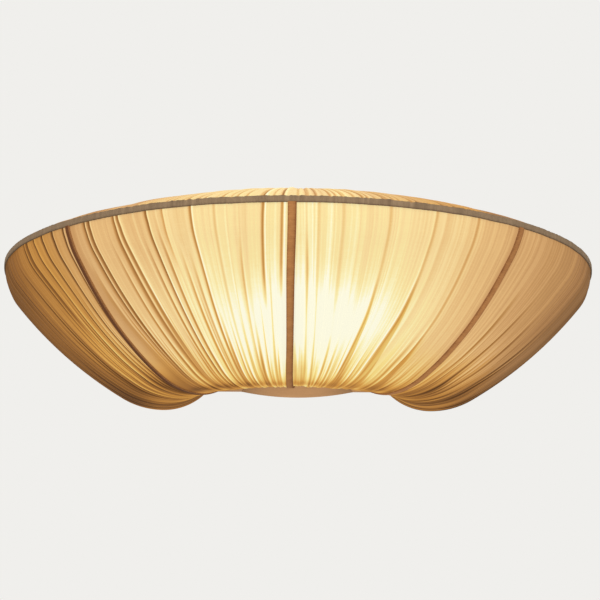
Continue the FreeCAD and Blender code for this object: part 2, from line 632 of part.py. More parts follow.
def holder_wires():
    """Two wires to each lampholder, up through the slot in the shelf and down the nipple."""
    entry = -(S.plate_thick + S.entry_out)
    down = S.shelf_level - S.nipple_sink + S.stud_gap
    slot = -(S.plate_thick + S.stud_gap + S.wire_slot_back + S.wire_slot_deep / 2)
    step = 2 * (S.cord_rad + S.stud_gap)
    for label, pole, shift in (("wires_live", POLES[0], -1), ("wires_neutral", POLES[2], 1)):
        tubes = []
        for hand in (-1, 1):
            x = hand * S.lamp_space / 2 + shift * S.cord_pair
            across = hand * shift < 0
            level = S.shelf_level + S.shelf_thick + S.cord_rise - (step * (2 if hand > 0 else 1) if across else 0)
            lane = pole + hand * step / 2
            points = [(lane, entry, BLOCK_TOP + S.hole_gap), (lane, slot, S.shelf_level - S.foot_high / 2),
                      (lane, slot, level), (x, -S.lamp_out, level), (x, -S.lamp_out, down)]
            tubes.append(tube(cord_path(points, S.cord_bend), S.cord_rad))
        feature_of(label, Part.Compound(tubes))


def earth_wire():
    entry = -(S.plate_thick + S.entry_out)
    low = BLOCK_LOW - S.stud_gap
    y = -(S.plate_thick + S.stud_gap + S.cord_rad + S.ring_thick)
    end = S.earth_out - S.ring_tail
    level = EARTH_LEVEL
    points = [(0, entry, low), (0, entry, level - S.cord_bend / 2), (end / 2, y, level - S.cord_bend),
              (end - S.cord_bend * 1.5, y, level), (end - S.stud_gap, y, level)]
    feature_of("wire_earth", tube(cord_path(points, S.cord_bend / 2), S.cord_rad))


def shade_ring(label, point):
    """Half ring of wire whose ends meet the flat frame at the wall."""
    r, z = point
    spare = math.degrees(math.asin(float(2 * S.wire_rad + S.weld_gap) / float(r)))
    torus = doc.addObject("Part::Torus", label)
    bind(torus, Radius1=r, Radius2=S.wire_rad)
    torus.Angle3 = 180 - 2 * spare
    torus.Placement = Placement(SHADE_PLACE + Vector(0, 0, float(z)), Rotation(Vector(0, 0, 1), 180 + spare))
    keep(torus, label)


def straight(a, b, radius):
    """Round bar between two points."""
    a, b = Vector(*[float(c) for c in a]), Vector(*[float(c) for c in b])
    return Part.makeCylinder(float(radius), (b - a).Length, a, b - a)


def rib_shape(run):
    """Bent wire of one rib in the plane of its meridian, from the recess over the rim to the top."""
    spans = lower_spans(RIB_DEEP, run)
    lower = tube(Part.Wire([edge(span, 0) for span in spans]), S.wire_rad)
    start, end = [meridian(p, 0) for p in upper_spans(RIB_DEEP)[0]]
    knee = Part.makeSphere(float(S.wire_rad), start)
    return lower.fuse([knee, straight(start, end, S.wire_rad)]).removeSplitter()


def ribs():
    shape = rib_shape(S.return_run)
    step = 90 / float(S.panel_count)
    for label, turn in (("rib_centre", 0), ("rib_left", -step), ("rib_right", step)):
        feature_of(label, shape, Placement(SHADE_PLACE, Rotation(Vector(0, 0, 1), turn)))
    aside = Vector(0, -float(S.wire_rad), 0)
    shape = rib_shape(S.return_run - S.wire_rad / 2)
    for label, turn in (("rib_wall_left", -90), ("rib_wall_right", 90)):
        feature_of(label, shape, Placement(SHADE_PLACE + aside, Rotation(Vector(0, 0, 1), turn)))


def back_frame(low, high):
    """Flat four-sided wire at the wall that the half rings are welded to."""
    y, wire = -float(S.wire_rad), float(S.wire_rad)
    corners = [Vector(side * float(r), y, float(z)) for side, (r, z) in ((-1, low), (1, low), (1, high), (-1, high))]
    shape = Part.makeSphere(wire, corners[0])
    parts = [Part.makeSphere(wire, c) for c in corners[1:]]
    parts += [straight(a, b, wire) for a, b in zip(corners, corners[1:] + corners[:1])]
    feature_of("back_frame", shape.fuse(parts).removeSplitter(), Placement(SHADE_PLACE, Rotation()))


def frame_stays(low, high, rim):
    """Straight wires at the rim's height, from the flat frame out to the ribs at the wall."""
    share = (float(rim[1]) - float(low[1])) / (float(high[1]) - float(low[1]))
    near = float(low[0]) + share * (float(high[0]) - float(low[0])) + float(S.wire_rad + S.weld_gap)
    far = float(rim[0])
    for hand, side in (("left", -1), ("right", 1)):
        y = -float(S.wire_rad)
        bar = straight((side * near, y, rim[1]), (side * far, y, rim[1]), S.wire_rad)
        feature_of("stay_" + hand, bar, Placement(SHADE_PLACE, Rotation()))


def lugs(low, high):
    """Flat tabs on the frame's uprights, clamped to the plate's bushes by the thumb screws."""
    upright = low[0] - low[1] * (high[0] - low[0]) / (high[1] - low[1])
    for hand, side in (("left", -1), ("right", 1)):
        label = "lug_" + hand
        body = new_body(label)
        near, far = NUT_OUT - S.lug_end, upright + S.wire_rad + S.lug_reach
        half = S.lug_high / 2
        sk = sketch_on(body, "Tab", "XZ_Plane", S.weld_gap)
        x0, x1 = (near, far) if side > 0 else (-far, -near)
        rounded(sk, x0, -half, x1, half, S.lug_high / 7)
        circle(sk, side * NUT_OUT, 0, S.stud_rad + 2 * S.stud_gap)
        pad(body, sk, S.lug_thick)
        at(keep(body, label), 0, -S.wall_gap - 2 * S.wire_rad, 0)


def thumb_screw(hand, side):
    """Knurled screw held in the shade's tab."""
    seat = S.knob_seat
    points = [(0, -S.stud_long), (S.stud_rad, -S.stud_long), (S.stud_rad, seat), (S.knob_seat_rad, seat),
              (S.knob_seat_rad, seat + S.knob_step), (S.knob_rad, seat + 2 * S.knob_step),
              (S.knob_rad, seat + S.knob_high - S.knob_step / 2), (S.knob_rad - S.knob_step / 2, seat + S.knob_high),
              (0, seat + S.knob_high)]
    body = turned("thumb_screw_" + hand, points)
    groove = sketch_on(body, "Knurl", "XY_Plane", seat + S.knob_step)
    circle(groove, S.knob_rad + S.knurl_rad - S.knurl_deep, 0, S.knurl_rad)
    cut = pocket(body, groove, S.knob_high)
    pattern = body.newObject("PartDesign::PolarPattern", "KnurlPattern")
    pattern.Originals = [cut]
    pattern.Axis = (groove, ["N_Axis"])
    pattern.Angle = 360
    pattern.Occurrences = int(float(S.knurl_count))
    body.Tip = pattern
    body.Placement = Placement(Vector(), Rotation(Vector(1, 0, 0), 90))
    out = S.wall_gap + 2 * S.wire_rad + S.weld_gap + S.lug_thick
    at(keep(body, "thumb_screw_" + hand), side * NUT_OUT, -out, 0)


def linings():
    for label, spans in (("lining_lower", lower_spans), ("lining_upper", upper_spans)):
        wire = layer_wire(spans, CLOTH_DEEP, S.lining_thick, -90)
        feature_of(label, half_turned(wire), Placement(SHADE_PLACE, Rotation()))


def pleated(spans, first, last, pleats):
    """Cloth in knife pleats between two meridians: a short face up to each fold, a long one down from it."""
    wires = []
    pitch = (last - first) / pleats
    lead = pitch * float(S.pleat_lead_share)
    for n in range(pleats):
        wires.append(layer_wire(spans, S.pleat_deep, S.cloth_thick, first + n * pitch))
        wires.append(layer_wire(spans, size(0), S.cloth_thick, first + n * pitch + lead))
    wires.append(layer_wire(spans, S.pleat_deep, S.cloth_thick, last))
    return Part.makeLoft(wires, True, True)


def covers():
    """The pleated cover: a panel between each two ribs below the rim, one round piece above it."""
    pleats = int(float(S.pleat_count))
    panels = int(2 * float(S.panel_count))
    step = 180 / panels
    gap = math.degrees(float(S.panel_gap) / float(S.rim_rad))
    for n in range(panels):
        first = -90 + n * step
        shape = pleated(lower_spans, first + gap, first + step - gap, pleats)
        feature_of("cover_lower_%d" % (n + 1), shape, Placement(SHADE_PLACE, Rotation()))
    shape = pleated(upper_spans, -90, 90, pleats * panels)
    feature_of("cover_upper", shape, Placement(SHADE_PLACE, Rotation()))


def rim_ribbon():
    low, lap = S.ribbon_high - S.ribbon_lap, S.ribbon_lap
    near, far = S.rim_rad + S.tape_gap, S.rim_rad + S.tape_gap + S.tape_thick
    sag = 1 - cosd(math.degrees(math.asin(float(low) / float(S.shoulder_rad))))
    drop = S.shoulder_rad * sag
    points = [(near, 0), (near, lap), (far, lap), (far, 0), (far - drop, -low), (near - drop, -low)]
    flat = [Vector(-float(r), 0, float(z)) for r, z in points]
    shape = half_turned(Part.makePolygon(flat + flat[:1]))
    feature_of("rim_ribbon", shape, Placement(SHADE_PLACE, Rotation()))


def tape_spans(deep):
    """The lower outline from under the rim ribbon to the end of the foot."""
    low = float(S.ribbon_high - S.ribbon_lap + 2 * S.tape_gap)
    first = math.degrees(math.asin(low / float(S.shoulder_rad)))
    bounds = [first] + [float(t) for t in TURNS[:-1]] + [(TURNS[2] + float(S.return_angle)) / 2]
    spans = [[lower_point(arc, t, deep) for t in (a, (a + b) / 2, b)]
             for arc, (a, b) in enumerate(zip(bounds, bounds[1:]))]
    return [[(float(r), float(z)) for r, z in span] for span in spans]


def rib_tapes():
    step = 90 / float(S.panel_count)
    wire = layer_wire(tape_spans, -S.tape_gap - S.tape_thick, S.tape_thick, 0)
    shape = Part.Face(wire).extrude(Vector(float(S.tape_wide), 0, 0))
    shape.translate(Vector(-float(S.tape_wide) / 2, 0, 0))
    for label, turn in (("rib_tape_centre", 0), ("rib_tape_left", -step), ("rib_tape_right", step)):
        feature_of(label, shape, Placement(SHADE_PLACE, Rotation(Vector(0, 0, 1), turn)))


def bottom_disc():
    """Covered half disc sewn inside the cloth's inner edge."""
    rad, low = lower_point(3, S.return_angle, 0, S.return_run)[0] - S.disc_gap, DISC_LEVEL
    body = turned("bottom_disc", [(0, low), (rad, low), (rad, low + S.disc_thick), (0, low + S.disc_thick)], turn=180)
    body.Placement = Placement(Vector(), Rotation(Vector(0, 0, 1), 180))
    at(keep(body, "bottom_disc"), 0, -S.wall_gap, 0)
    return low


def bottom_cap(level):
    """Domed half button under the disc."""
    t, drop, rad = S.cap_thick, S.cap_drop, S.cap_rad
    big = (rad * rad + drop * drop) / (2 * drop)
    level = level - S.stud_gap
    mid = level - drop + big
    inner = big - t
    edge_in = root(inner * inner - (mid - level) * (mid - level))
    points = [(0, level - drop), (rad, level), (edge_in, level), (0, level - drop + t)]
    arcs = {0: (big, 0, mid), 2: (inner, 0, mid)}
    body = turned("bottom_cap", points, arcs, turn=180)
    body.Placement = Placement(Vector(), Rotation(Vector(0, 0, 1), 180))
    at(keep(body, "bottom_cap"), 0, -S.wall_gap, 0)


def build():
    wall_plate()
    cable_grommet()
    terminal_block()
    block_hardware()
    lamp_bracket()
    bracket_screws()
    press_nuts()
    earth_point()
    for hand, side in (("left", -1), ("right", 1)):
        x = side * S.lamp_space / 2
        lampholder(hand, x)
        bulb(hand, x)
        thumb_screw(hand, side)
    nipples_and_nuts()
    holder_wires()
    earth_wire()
    rim = lower_point(0, rim_turn(RING_DEEP), RING_DEEP)
    high = top_point(RING_DEEP)
    low = lower_point(3, S.return_angle, RING_DEEP, S.return_run)
    shade_ring("rim_ring", rim)
    shade_ring("crest_ring", (CREST[0], CREST[1] + RING_DEEP))
    shade_ring("recess_ring", low)
    shade_ring("top_ring", high)
    back_frame(low, high)
    frame_stays(low, high, rim)
    lugs(low, high)
    ribs()
    linings()
    covers()
    rim_ribbon()
    rib_tapes()
    bottom_cap(bottom_disc())


def check_and_write():
    doc.recompute()
    for obj in doc.Objects:
        if "Invalid" in obj.State or "Error" in obj.State:
            raise RuntimeError("%s failed: %s" % (obj.Label, obj.State))
    for obj in nodes:
        if obj.Shape.isNull() or not obj.Shape.isValid() or not obj.Shape.Solids:
            raise RuntimeError(obj.Label + " has no valid solid")
    os.makedirs("parts", exist_ok=True)
    for obj in nodes:
        obj.Shape.exportStep("parts/%s.step" % obj.Label)
        print("%-24s %d solid(s) %12.1f mm3" % (obj.Label, len(obj.Shape.Solids), obj.Shape.Volume))


build()
check_and_write()
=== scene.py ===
import json
import math

import bmesh
import bpy
import numpy as np
from mathutils import Matrix, Vector


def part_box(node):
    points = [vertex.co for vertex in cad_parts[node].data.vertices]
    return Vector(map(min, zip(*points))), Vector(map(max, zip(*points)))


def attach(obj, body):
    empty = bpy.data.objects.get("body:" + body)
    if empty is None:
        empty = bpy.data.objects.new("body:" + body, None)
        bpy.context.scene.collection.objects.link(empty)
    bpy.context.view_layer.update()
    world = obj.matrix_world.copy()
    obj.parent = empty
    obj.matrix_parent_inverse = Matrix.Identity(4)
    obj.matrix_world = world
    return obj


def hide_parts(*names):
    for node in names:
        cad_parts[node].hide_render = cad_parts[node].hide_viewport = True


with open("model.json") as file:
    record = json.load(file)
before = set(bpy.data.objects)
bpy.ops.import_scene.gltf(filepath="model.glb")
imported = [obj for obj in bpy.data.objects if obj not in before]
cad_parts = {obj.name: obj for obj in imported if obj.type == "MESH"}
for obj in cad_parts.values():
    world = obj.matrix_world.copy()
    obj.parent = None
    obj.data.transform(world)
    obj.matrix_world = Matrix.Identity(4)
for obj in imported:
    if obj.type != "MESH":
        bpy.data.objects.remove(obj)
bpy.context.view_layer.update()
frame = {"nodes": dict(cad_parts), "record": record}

# Half-round wall lamp: pleated shade over a smooth lining, ribbon round the rim, tapes on three ribs and a
# domed half cap below. Metres. X right, Y into the wall, Z up. Angles in degrees round the shade: 0 faces
# forwards, 90 is the right end. A run goes along the cloth from the rim. On the lower side, down is a run's
# share of the way to the crest ring.

# Gap to the wall, radii of the rim and the top opening, height of the top over the rim
WALL_GAP = 0.002
RIM = 0.309
TOP = 0.112
RISE = 0.067
# Radii of the lower outline's arcs from the rim to the return, place of the crest, extent of the return
SHOULDER = 0.050
FLANK = 0.436
FOOT = 0.085
RETURN = 0.062
CREST = 0.1398
CREST_LOW = -0.1429
RETURN_ANGLE = 132.0
RETURN_RUN = 0.006
# Run where the lower cover begins behind the ribbon, cloth turned in at the hem, edges of the ribbon
PANEL_START = -0.003
HEM = 0.0016
RIBBON_TOP = 0.0041
RIBBON_LOW = -0.0021
# Thickness of the lining and its depth inside the outline
CLOTH = 0.0007
LINING_DEEP = 0.00325
# Half the seam between two panels, deepest valley of the lower and the upper folds
SEAM = 0.00012
LOWER_VALLEY = 0.0024
UPPER_VALLEY = 0.0026
# Depth of flat lower cloth, what a crease adds and what a ridge takes away; the same for the upper cloth
LOWER_DEPTHS = (0.0010, 0.0013, 0.0009)
UPPER_DEPTHS = (0.0010, 0.0014, 0.0008)
# Lift of sewn trim over the cloth, its thickness in the middle and how far its edges are tucked down
TRIM_LIFT = 0.0001
RIBBON_THICK = 0.00075
RIBBON_TUCK = 0.0006
TAPE_THICK = 0.0008
TAPE_TUCK = 0.0005
TAPE_HALF = 0.003
# Rounding of the board's edge, radius and depth of the cap's dome
BOARD_SOFT = 0.0006
CAP_RADIUS = 0.058
CAP_DROP = 0.006
ALL_ROUND = (-90, 90)
MM = 1000
# Points round and along each kind of piece
PANEL_GRID = (680, 101)
CONE_GRID = (1900, 40)
LINING_GRID = (360, 60)
RIBBON_GRID = (1300, 11)
TAPE_GRID = (13, 120)
TURNED_POINTS = 140
# Seeds of the random draws; the number of the panel and the angle of the tape are added to theirs
PANEL_SEED = 40
CONE_SEED = 77
RIBBON_SEED = 5
TAPE_SEED = 200

LENS = 125.8
SENSOR = 36.0
CAMERA_PLACE = (0.042, -2.170, -0.524)
CAMERA_TURNS = ((1.05, "Z"), (103.0, "X"), (0.47, "Z"))


def mix(a, b, t):
    return a + (b - a) * t


def step(low, high, x):
    """Smooth step from 0 at low to 1 at high."""
    t = np.clip((x - low) / (high - low), 0.0, 1.0)
    return t * t * (3 - 2 * t)


def bell(x, middle, width):
    return np.exp(-(((x - middle) / width) ** 2))


def wander(rng, x, ends, count, size):
    """Slow random change along x, through a number of values spread evenly between the ends."""
    return np.interp(x, np.linspace(*ends, count), rng.normal(0.0, size, count))


# Camera
def make_camera():
    data = bpy.data.cameras.new("camera")
    data.lens = LENS
    data.sensor_width = SENSOR
    data.sensor_fit = "AUTO"
    data.clip_start = 0.05
    data.clip_end = 60.0
    camera = bpy.data.objects.new("camera", data)
    turn = Matrix.Identity(4)
    for degrees, axis in CAMERA_TURNS:
        turn = turn @ Matrix.Rotation(math.radians(degrees), 4, axis)
    camera.matrix_world = Matrix.Translation(CAMERA_PLACE) @ turn
    bpy.context.scene.collection.objects.link(camera)
    bpy.context.scene.camera = camera


make_camera()


# Outline of the shade
def arc_table():
    """Centre, radius and end angles of the lower outline's arcs."""
    shoulder = (RIM - SHOULDER, 0.0)
    foot = (CREST, CREST_LOW + FOOT)
    near = FLANK - SHOULDER
    far = FLANK - FOOT
    across = shoulder[0] - foot[0]
    down = shoulder[1] - foot[1]
    apart = math.hypot(across, down)
    lean = math.acos((near * near + apart * apart - far * far) / (2 * near * apart))
    first = math.degrees(lean - math.atan2(down, across))
    flank = (shoulder[0] - near * math.cos(math.radians(first)), near * math.sin(math.radians(first)))
    second = math.degrees(math.asin((flank[1] - foot[1]) / far))
    return [(shoulder, SHOULDER, 0.0, first), (flank, FLANK, first, second), (foot, FOOT, second, 90.0),
            ((CREST, CREST_LOW + RETURN), RETURN, 90.0, RETURN_ANGLE)]


ARCS = arc_table()
LOWER_LONG = sum(math.radians(b - a) * rad for _, rad, a, b in ARCS) + RETURN_RUN
CREST_RUN = LOWER_LONG - RETURN_RUN - math.radians(RETURN_ANGLE - 90.0) * RETURN
SLOPE = math.atan2(RISE, RIM - TOP)
UPPER_LONG = math.hypot(RISE, RIM - TOP)


def lower_point(run):
    """Radius, height and facing angle of the lower outline, a run along it from the rim."""
    for (r, z), rad, a, b in ARCS:
        span = math.radians(b - a) * rad
        if run <= span:
            turn = math.radians(a) + run / rad
            return r + rad * math.cos(turn), z - rad * math.sin(turn), turn
        run -= span
    turn = math.radians(RETURN_ANGLE)
    return (r + rad * math.cos(turn) - run * math.sin(turn),
            z - rad * math.sin(turn) - run * math.cos(turn), turn)


def lower_outline(runs):
    """Radius, height and facing angle of the lower side, each as a column."""
    return np.array([lower_point(run) for run in runs]).T[:, :, None]


def upper_outline(runs):
    """Radius and height of the upper side, each as a column."""
    return RIM - runs[:, None] * math.cos(SLOPE), runs[:, None] * math.sin(SLOPE)


def round_points(r, z, angles):
    """Points at distances and heights from the shade's axis, turned round it."""
    turn = np.radians(angles)
    return np.stack([r * np.sin(turn), -WALL_GAP - r * np.cos(turn), z], -1)


def lower_grid(runs, angles, deep):
    """Points of the lower side, a depth inside its outline."""
    r, z, turn = lower_outline(runs)
    return round_points(r - np.cos(turn) * deep, z + np.sin(turn) * deep, angles)


def upper_grid(runs, angles, deep):
    """Points of the upper side, a depth under its straight cone."""
    r, z = upper_outline(runs)
    return round_points(r - math.sin(SLOPE) * deep, z - math.cos(SLOPE) * deep, angles)


def puff(share, angles):
    """Height of the upper cover over its frame, from rim to top ring; it is drawn in at the wall."""
    swell = 0.0145 * (1 - step(74, 90, np.abs(angles)))
    return RIBBON_TOP * (1 - share) + swell * share ** 0.55 * (1 - share)


# Meshes
def grid_mesh(name, points, values, across, along):
    """Mesh from a grid of points, with named float values per point and a cloth map in metres."""
    shape = points.shape[:2]
    ids = np.arange(shape[0] * shape[1]).reshape(shape)
    faces = np.stack([ids[:-1, :-1], ids[:-1, 1:], ids[1:, 1:], ids[1:, :-1]], -1).reshape(-1, 4)
    mesh = bpy.data.meshes.new(name)
    mesh.vertices.add(ids.size)
    mesh.vertices.foreach_set("co", points.reshape(-1).astype(np.float32))
    mesh.loops.add(faces.size)
    mesh.loops.foreach_set("vertex_index", faces.reshape(-1).astype(np.int32))
    mesh.polygons.add(len(faces))
    mesh.polygons.foreach_set("loop_start", np.arange(0, faces.size, 4, dtype=np.int32))
    mesh.polygons.foreach_set("loop_total", np.full(len(faces), 4, dtype=np.int32))
    mesh.update(calc_edges=True)
    mesh.validate()
    for key, value in values.items():
        layer = mesh.attributes.new(key, "FLOAT", "POINT")
        layer.data.foreach_set("value", np.broadcast_to(value, shape).reshape(-1).astype(np.float32))
    cloth = np.stack([np.broadcast_to(across, shape), np.broadcast_to(along, shape)], -1)
    cloth = cloth.reshape(-1, 2)[faces.reshape(-1)]
    mesh.uv_layers.new(name="cloth").data.foreach_set("uv", cloth.reshape(-1).astype(np.float32))
    mesh.polygons.foreach_set("use_smooth", np.ones(len(faces), dtype=bool))
    obj = bpy.data.objects.new(name, mesh)
    bpy.context.scene.collection.objects.link(obj)
    return obj


def put_on_shade(obj, node, slot):
    """Gives a piece its material and lets it take the place of a node of the shade."""
    obj.data.materials.append(SLOTS[slot])
    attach(obj, "shade")
    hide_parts(node)


# Materials
def srgb(r, g, b):
    """Linear, opaque colour from screen values of 0 to 255."""
    shares = [c / 255 for c in (r, g, b)]
    return tuple(c / 12.92 if c <= 0.04045 else ((c + 0.055) / 1.055) ** 2.4 for c in shares) + (1.0,)


class Nodes:
    """Short names for building a node material."""

    def __init__(self, name):
        self.material = bpy.data.materials.new(name)
        self.material.use_nodes = True
        self.tree = self.material.node_tree
        self.shader = self.tree.nodes["Principled BSDF"]

    def new(self, kind, **settings):
        node = self.tree.nodes.new(kind)
        inputs = settings.pop("inputs", {})
        for key, value in settings.items():
            setattr(node, key, value)
        for key, value in inputs.items():
            self.put(node.inputs[key], value)
        return node

    def put(self, socket, value):
        if isinstance(value, bpy.types.NodeSocket):
            self.tree.links.new(value, socket)
        else:
            socket.default_value = value

    def attribute(self, name):
        return self.new("ShaderNodeAttribute", attribute_name=name).outputs["Fac"]

    def maths(self, operation, a, b=0.0, clamp=False):
        inputs = {0: a, 1: b}
        return self.new("ShaderNodeMath", operation=operation, use_clamp=clamp, inputs=inputs).outputs[0]

    def add(self, a, b, clamp=False):
        return self.maths("ADD", a, b, clamp)

    def less(self, a, b, clamp=False):
        return self.maths("SUBTRACT", a, b, clamp)

    def times(self, a, b):
        return self.maths("MULTIPLY", a, b)

    def blend(self, a, b, share, kind="MIX"):
        inputs = {0: share, 6: a, 7: b}
        return self.new("ShaderNodeMix", data_type="RGBA", blend_type=kind, inputs=inputs).outputs[2]

    def ramp(self, value, stops):
        node = self.new("ShaderNodeValToRGB", inputs={0: value})
        bar = node.color_ramp
        while len(bar.elements) < len(stops):
            bar.elements.new(0.5)
        for element, (place, colour) in zip(bar.elements, stops):
            element.position = place
            element.color = colour
        return node.outputs[0]

    def noise(self, vector, scale, detail=3.0, stretch=None, rough=0.5):
        if stretch:
            vector = self.new("ShaderNodeMapping", inputs={"Vector": vector, "Scale": stretch}).outputs[0]
        inputs = {"Vector": vector, "Scale": scale, "Detail": detail, "Roughness": rough}
        return self.new("ShaderNodeTexNoise", inputs=inputs).outputs["Fac"]

    def place(self):
        return self.new("ShaderNodeTexCoord").outputs["Object"]

    def height(self, vector, axis="Z"):
        return self.new("ShaderNodeSeparateXYZ", inputs={0: vector}).outputs[axis]

    def cloth_map(self):
        return self.new("ShaderNodeUVMap", uv_map="cloth").outputs[0]

    def bump(self, height, strength, distance):
        inputs = {"Height": height, "Strength": strength, "Distance": distance}
        return self.new("ShaderNodeBump", inputs=inputs).outputs[0]

    def surface(self, **sockets):
        for key, value in sockets.items():
            self.put(self.shader.inputs[key.replace("_", " ")], value)
        return self.material


# Colours of lit cloth from dark to white: the single face, and the amber of cloth that lies double
FACE = [(0.0, srgb(30, 16, 6)), (0.24, srgb(84, 54, 28)), (0.35, srgb(118, 82, 48)),
        (0.43, srgb(143, 104, 66)), (0.50, srgb(168, 123, 80)), (0.59, srgb(192, 146, 96)),
        (0.66, srgb(208, 162, 111)), (0.76, srgb(231, 190, 134)), (0.82, srgb(240, 207, 150)),
        (0.87, srgb(247, 220, 165)), (0.91, srgb(249, 230, 171)), (0.955, srgb(253, 245, 200)),
        (1.0, srgb(255, 254, 238))]
AMBER = [(0.0, srgb(28, 15, 5)), (0.27, srgb(100, 64, 30)), (0.35, srgb(126, 84, 41)),
         (0.41, srgb(151, 101, 49)), (0.52, srgb(186, 131, 64)), (0.64, srgb(214, 157, 75)),
         (0.72, srgb(226, 180, 98)), (0.80, srgb(236, 202, 118)), (0.90, srgb(250, 230, 150)),
         (0.96, srgb(254, 246, 196)), (1.0, srgb(255, 253, 225))]
CLOTH_TINT = (0.37, 0.34, 0.21, 1.0)
CLOTH_GLOW = 0.73


def lit_cloth(name, weave, threads):
    """Thin woven cloth with the lamps' light coming through it; the light is in the mesh's own attribute."""
    n = Nodes(name)
    cloth = n.cloth_map()
    warp = n.noise(cloth, threads, 2.0, (1.0, 0.045, 1.0), 0.6)
    weft = n.noise(cloth, threads, 2.0, (0.045, 1.0, 1.0), 0.6)
    patch = n.noise(n.place(), 14.0, 4.0)
    woven = n.add(warp, weft)
    light = n.add(n.attribute("light"), n.times(n.less(woven, 1.0), weave))
    light = n.add(light, n.times(n.less(patch, 0.5), 0.06), clamp=True)
    colour = n.blend(n.ramp(light, FACE), n.ramp(light, AMBER), n.attribute("amber"))
    base = n.blend(colour, CLOTH_TINT, 1.0, "MULTIPLY")
    return n.surface(Base_Color=base, Roughness=0.85, Emission_Color=colour, Emission_Strength=CLOTH_GLOW,
                     Specular_IOR_Level=0.2, Normal=n.bump(woven, 0.35, 0.0003))


def tape_cloth(name, light, dark, ribs, glow, rib_axis):
    """Ribbed woven tape: close ribs across it, a little fuzz, and painted shade across it from the mesh's
    edge attribute.
    """
    n = Nodes(name)
    cloth = n.cloth_map()
    wave = n.maths("SINE", n.times(n.height(cloth, rib_axis), 2 * math.pi / ribs))
    stretch = (1.0, 0.08, 1.0) if rib_axis == "X" else (0.08, 1.0, 1.0)
    thread = n.noise(cloth, 1400.0, 2.0, stretch, 0.6)
    broad = n.noise(cloth, 120.0, 4.0, None, 0.6)
    share = n.add(n.times(wave, 0.16), n.times(thread, 0.55))
    share = n.add(share, n.times(broad, 0.5))
    # Painted shade: the edge attribute darkens the tape towards its dark colour
    share = n.less(share, n.times(n.attribute("edge"), 0.55), clamp=True)
    colour = n.blend(dark, light, share)
    lifted = n.times(n.attribute("light"), glow)
    relief = n.add(n.times(wave, 0.5), thread)
    return n.surface(Base_Color=colour, Roughness=0.8, Emission_Color=colour, Emission_Strength=lifted,
                     Specular_IOR_Level=0.25, Normal=n.bump(relief, 0.5, 0.0004))


def plain_cloth(name, light, dark, glow):
    """Close plain-woven cloth with a slight horizontal slub."""
    n = Nodes(name)
    cloth = n.cloth_map()
    weft = n.noise(cloth, 900.0, 3.0, (0.05, 1.0, 1.0), 0.6)
    warp = n.noise(cloth, 1200.0, 2.0, (1.0, 0.08, 1.0), 0.6)
    broad = n.noise(n.place(), 30.0, 3.0)
    share = n.add(n.times(weft, 0.55), n.times(warp, 0.25))
    share = n.add(share, n.times(broad, 0.3), clamp=True)
    colour = n.blend(dark, light, share)
    lifted = n.times(n.attribute("light"), glow)
    return n.surface(Base_Color=colour, Roughness=0.85, Emission_Color=colour, Emission_Strength=lifted,
                     Specular_IOR_Level=0.25, Normal=n.bump(n.add(weft, warp), 0.4, 0.0003))


def metal(name, colour, dark, rough, grain=(1.0, 1.0, 12.0)):
    """Drawn or turned metal: fine grain lines and faint staining."""
    n = Nodes(name)
    place = n.place()
    lines = n.noise(place, 260.0, 4.0, grain, 0.65)
    stain = n.noise(place, 45.0, 5.0, None, 0.6)
    share = n.times(stain, n.add(n.times(lines, 0.5), 0.5))
    return n.surface(Base_Color=n.blend(colour, dark, share), Metallic=1.0,
                     Roughness=n.add(n.times(lines, 0.16), rough), Normal=n.bump(lines, 0.12, 0.0002))


def coated(name, colour, dark, rough, peel=900.0, strength=0.12, coat=0.0):
    """Paint, plastic or rubber: fine surface texture, faint mottling and a little grime in it."""
    n = Nodes(name)
    place = n.place()
    fine = n.noise(place, peel, 2.0, None, 0.5)
    broad = n.noise(place, 28.0, 5.0, None, 0.6)
    grime = n.ramp(n.noise(place, 190.0, 5.0, None, 0.7), [(0.62, (0, 0, 0, 1)), (0.78, (1, 1, 1, 1))])
    mottled = n.blend(colour, dark, n.times(broad, 0.5))
    return n.surface(Base_Color=n.blend(mottled, dark, n.times(grime, 0.35)),
                     Roughness=n.add(n.times(broad, 0.15), rough), Coat_Weight=coat, Coat_Roughness=0.15,
                     Normal=n.bump(fine, strength, 0.0002))


def frosted_lamp(name):
    """Frosted glass of a lit lamp, a little warmer and dimmer towards its neck."""
    n = Nodes(name)
    place = n.place()
    levels = {0: n.height(place), 1: -0.10, 2: -0.03, 3: 0.0, 4: 1.0}
    neck = n.new("ShaderNodeMapRange", inputs=levels).outputs[0]
    mist = n.noise(place, 60.0, 4.0)
    share = n.add(neck, n.times(n.less(mist, 0.5), 0.15), clamp=True)
    colour = n.blend(srgb(255, 250, 226), srgb(250, 214, 150), share)
    return n.surface(Base_Color=srgb(250, 242, 225), Roughness=0.45, Emission_Color=colour,
                     Emission_Strength=0.85, Normal=n.bump(n.noise(place, 1500.0, 2.0), 0.1, 0.0001))


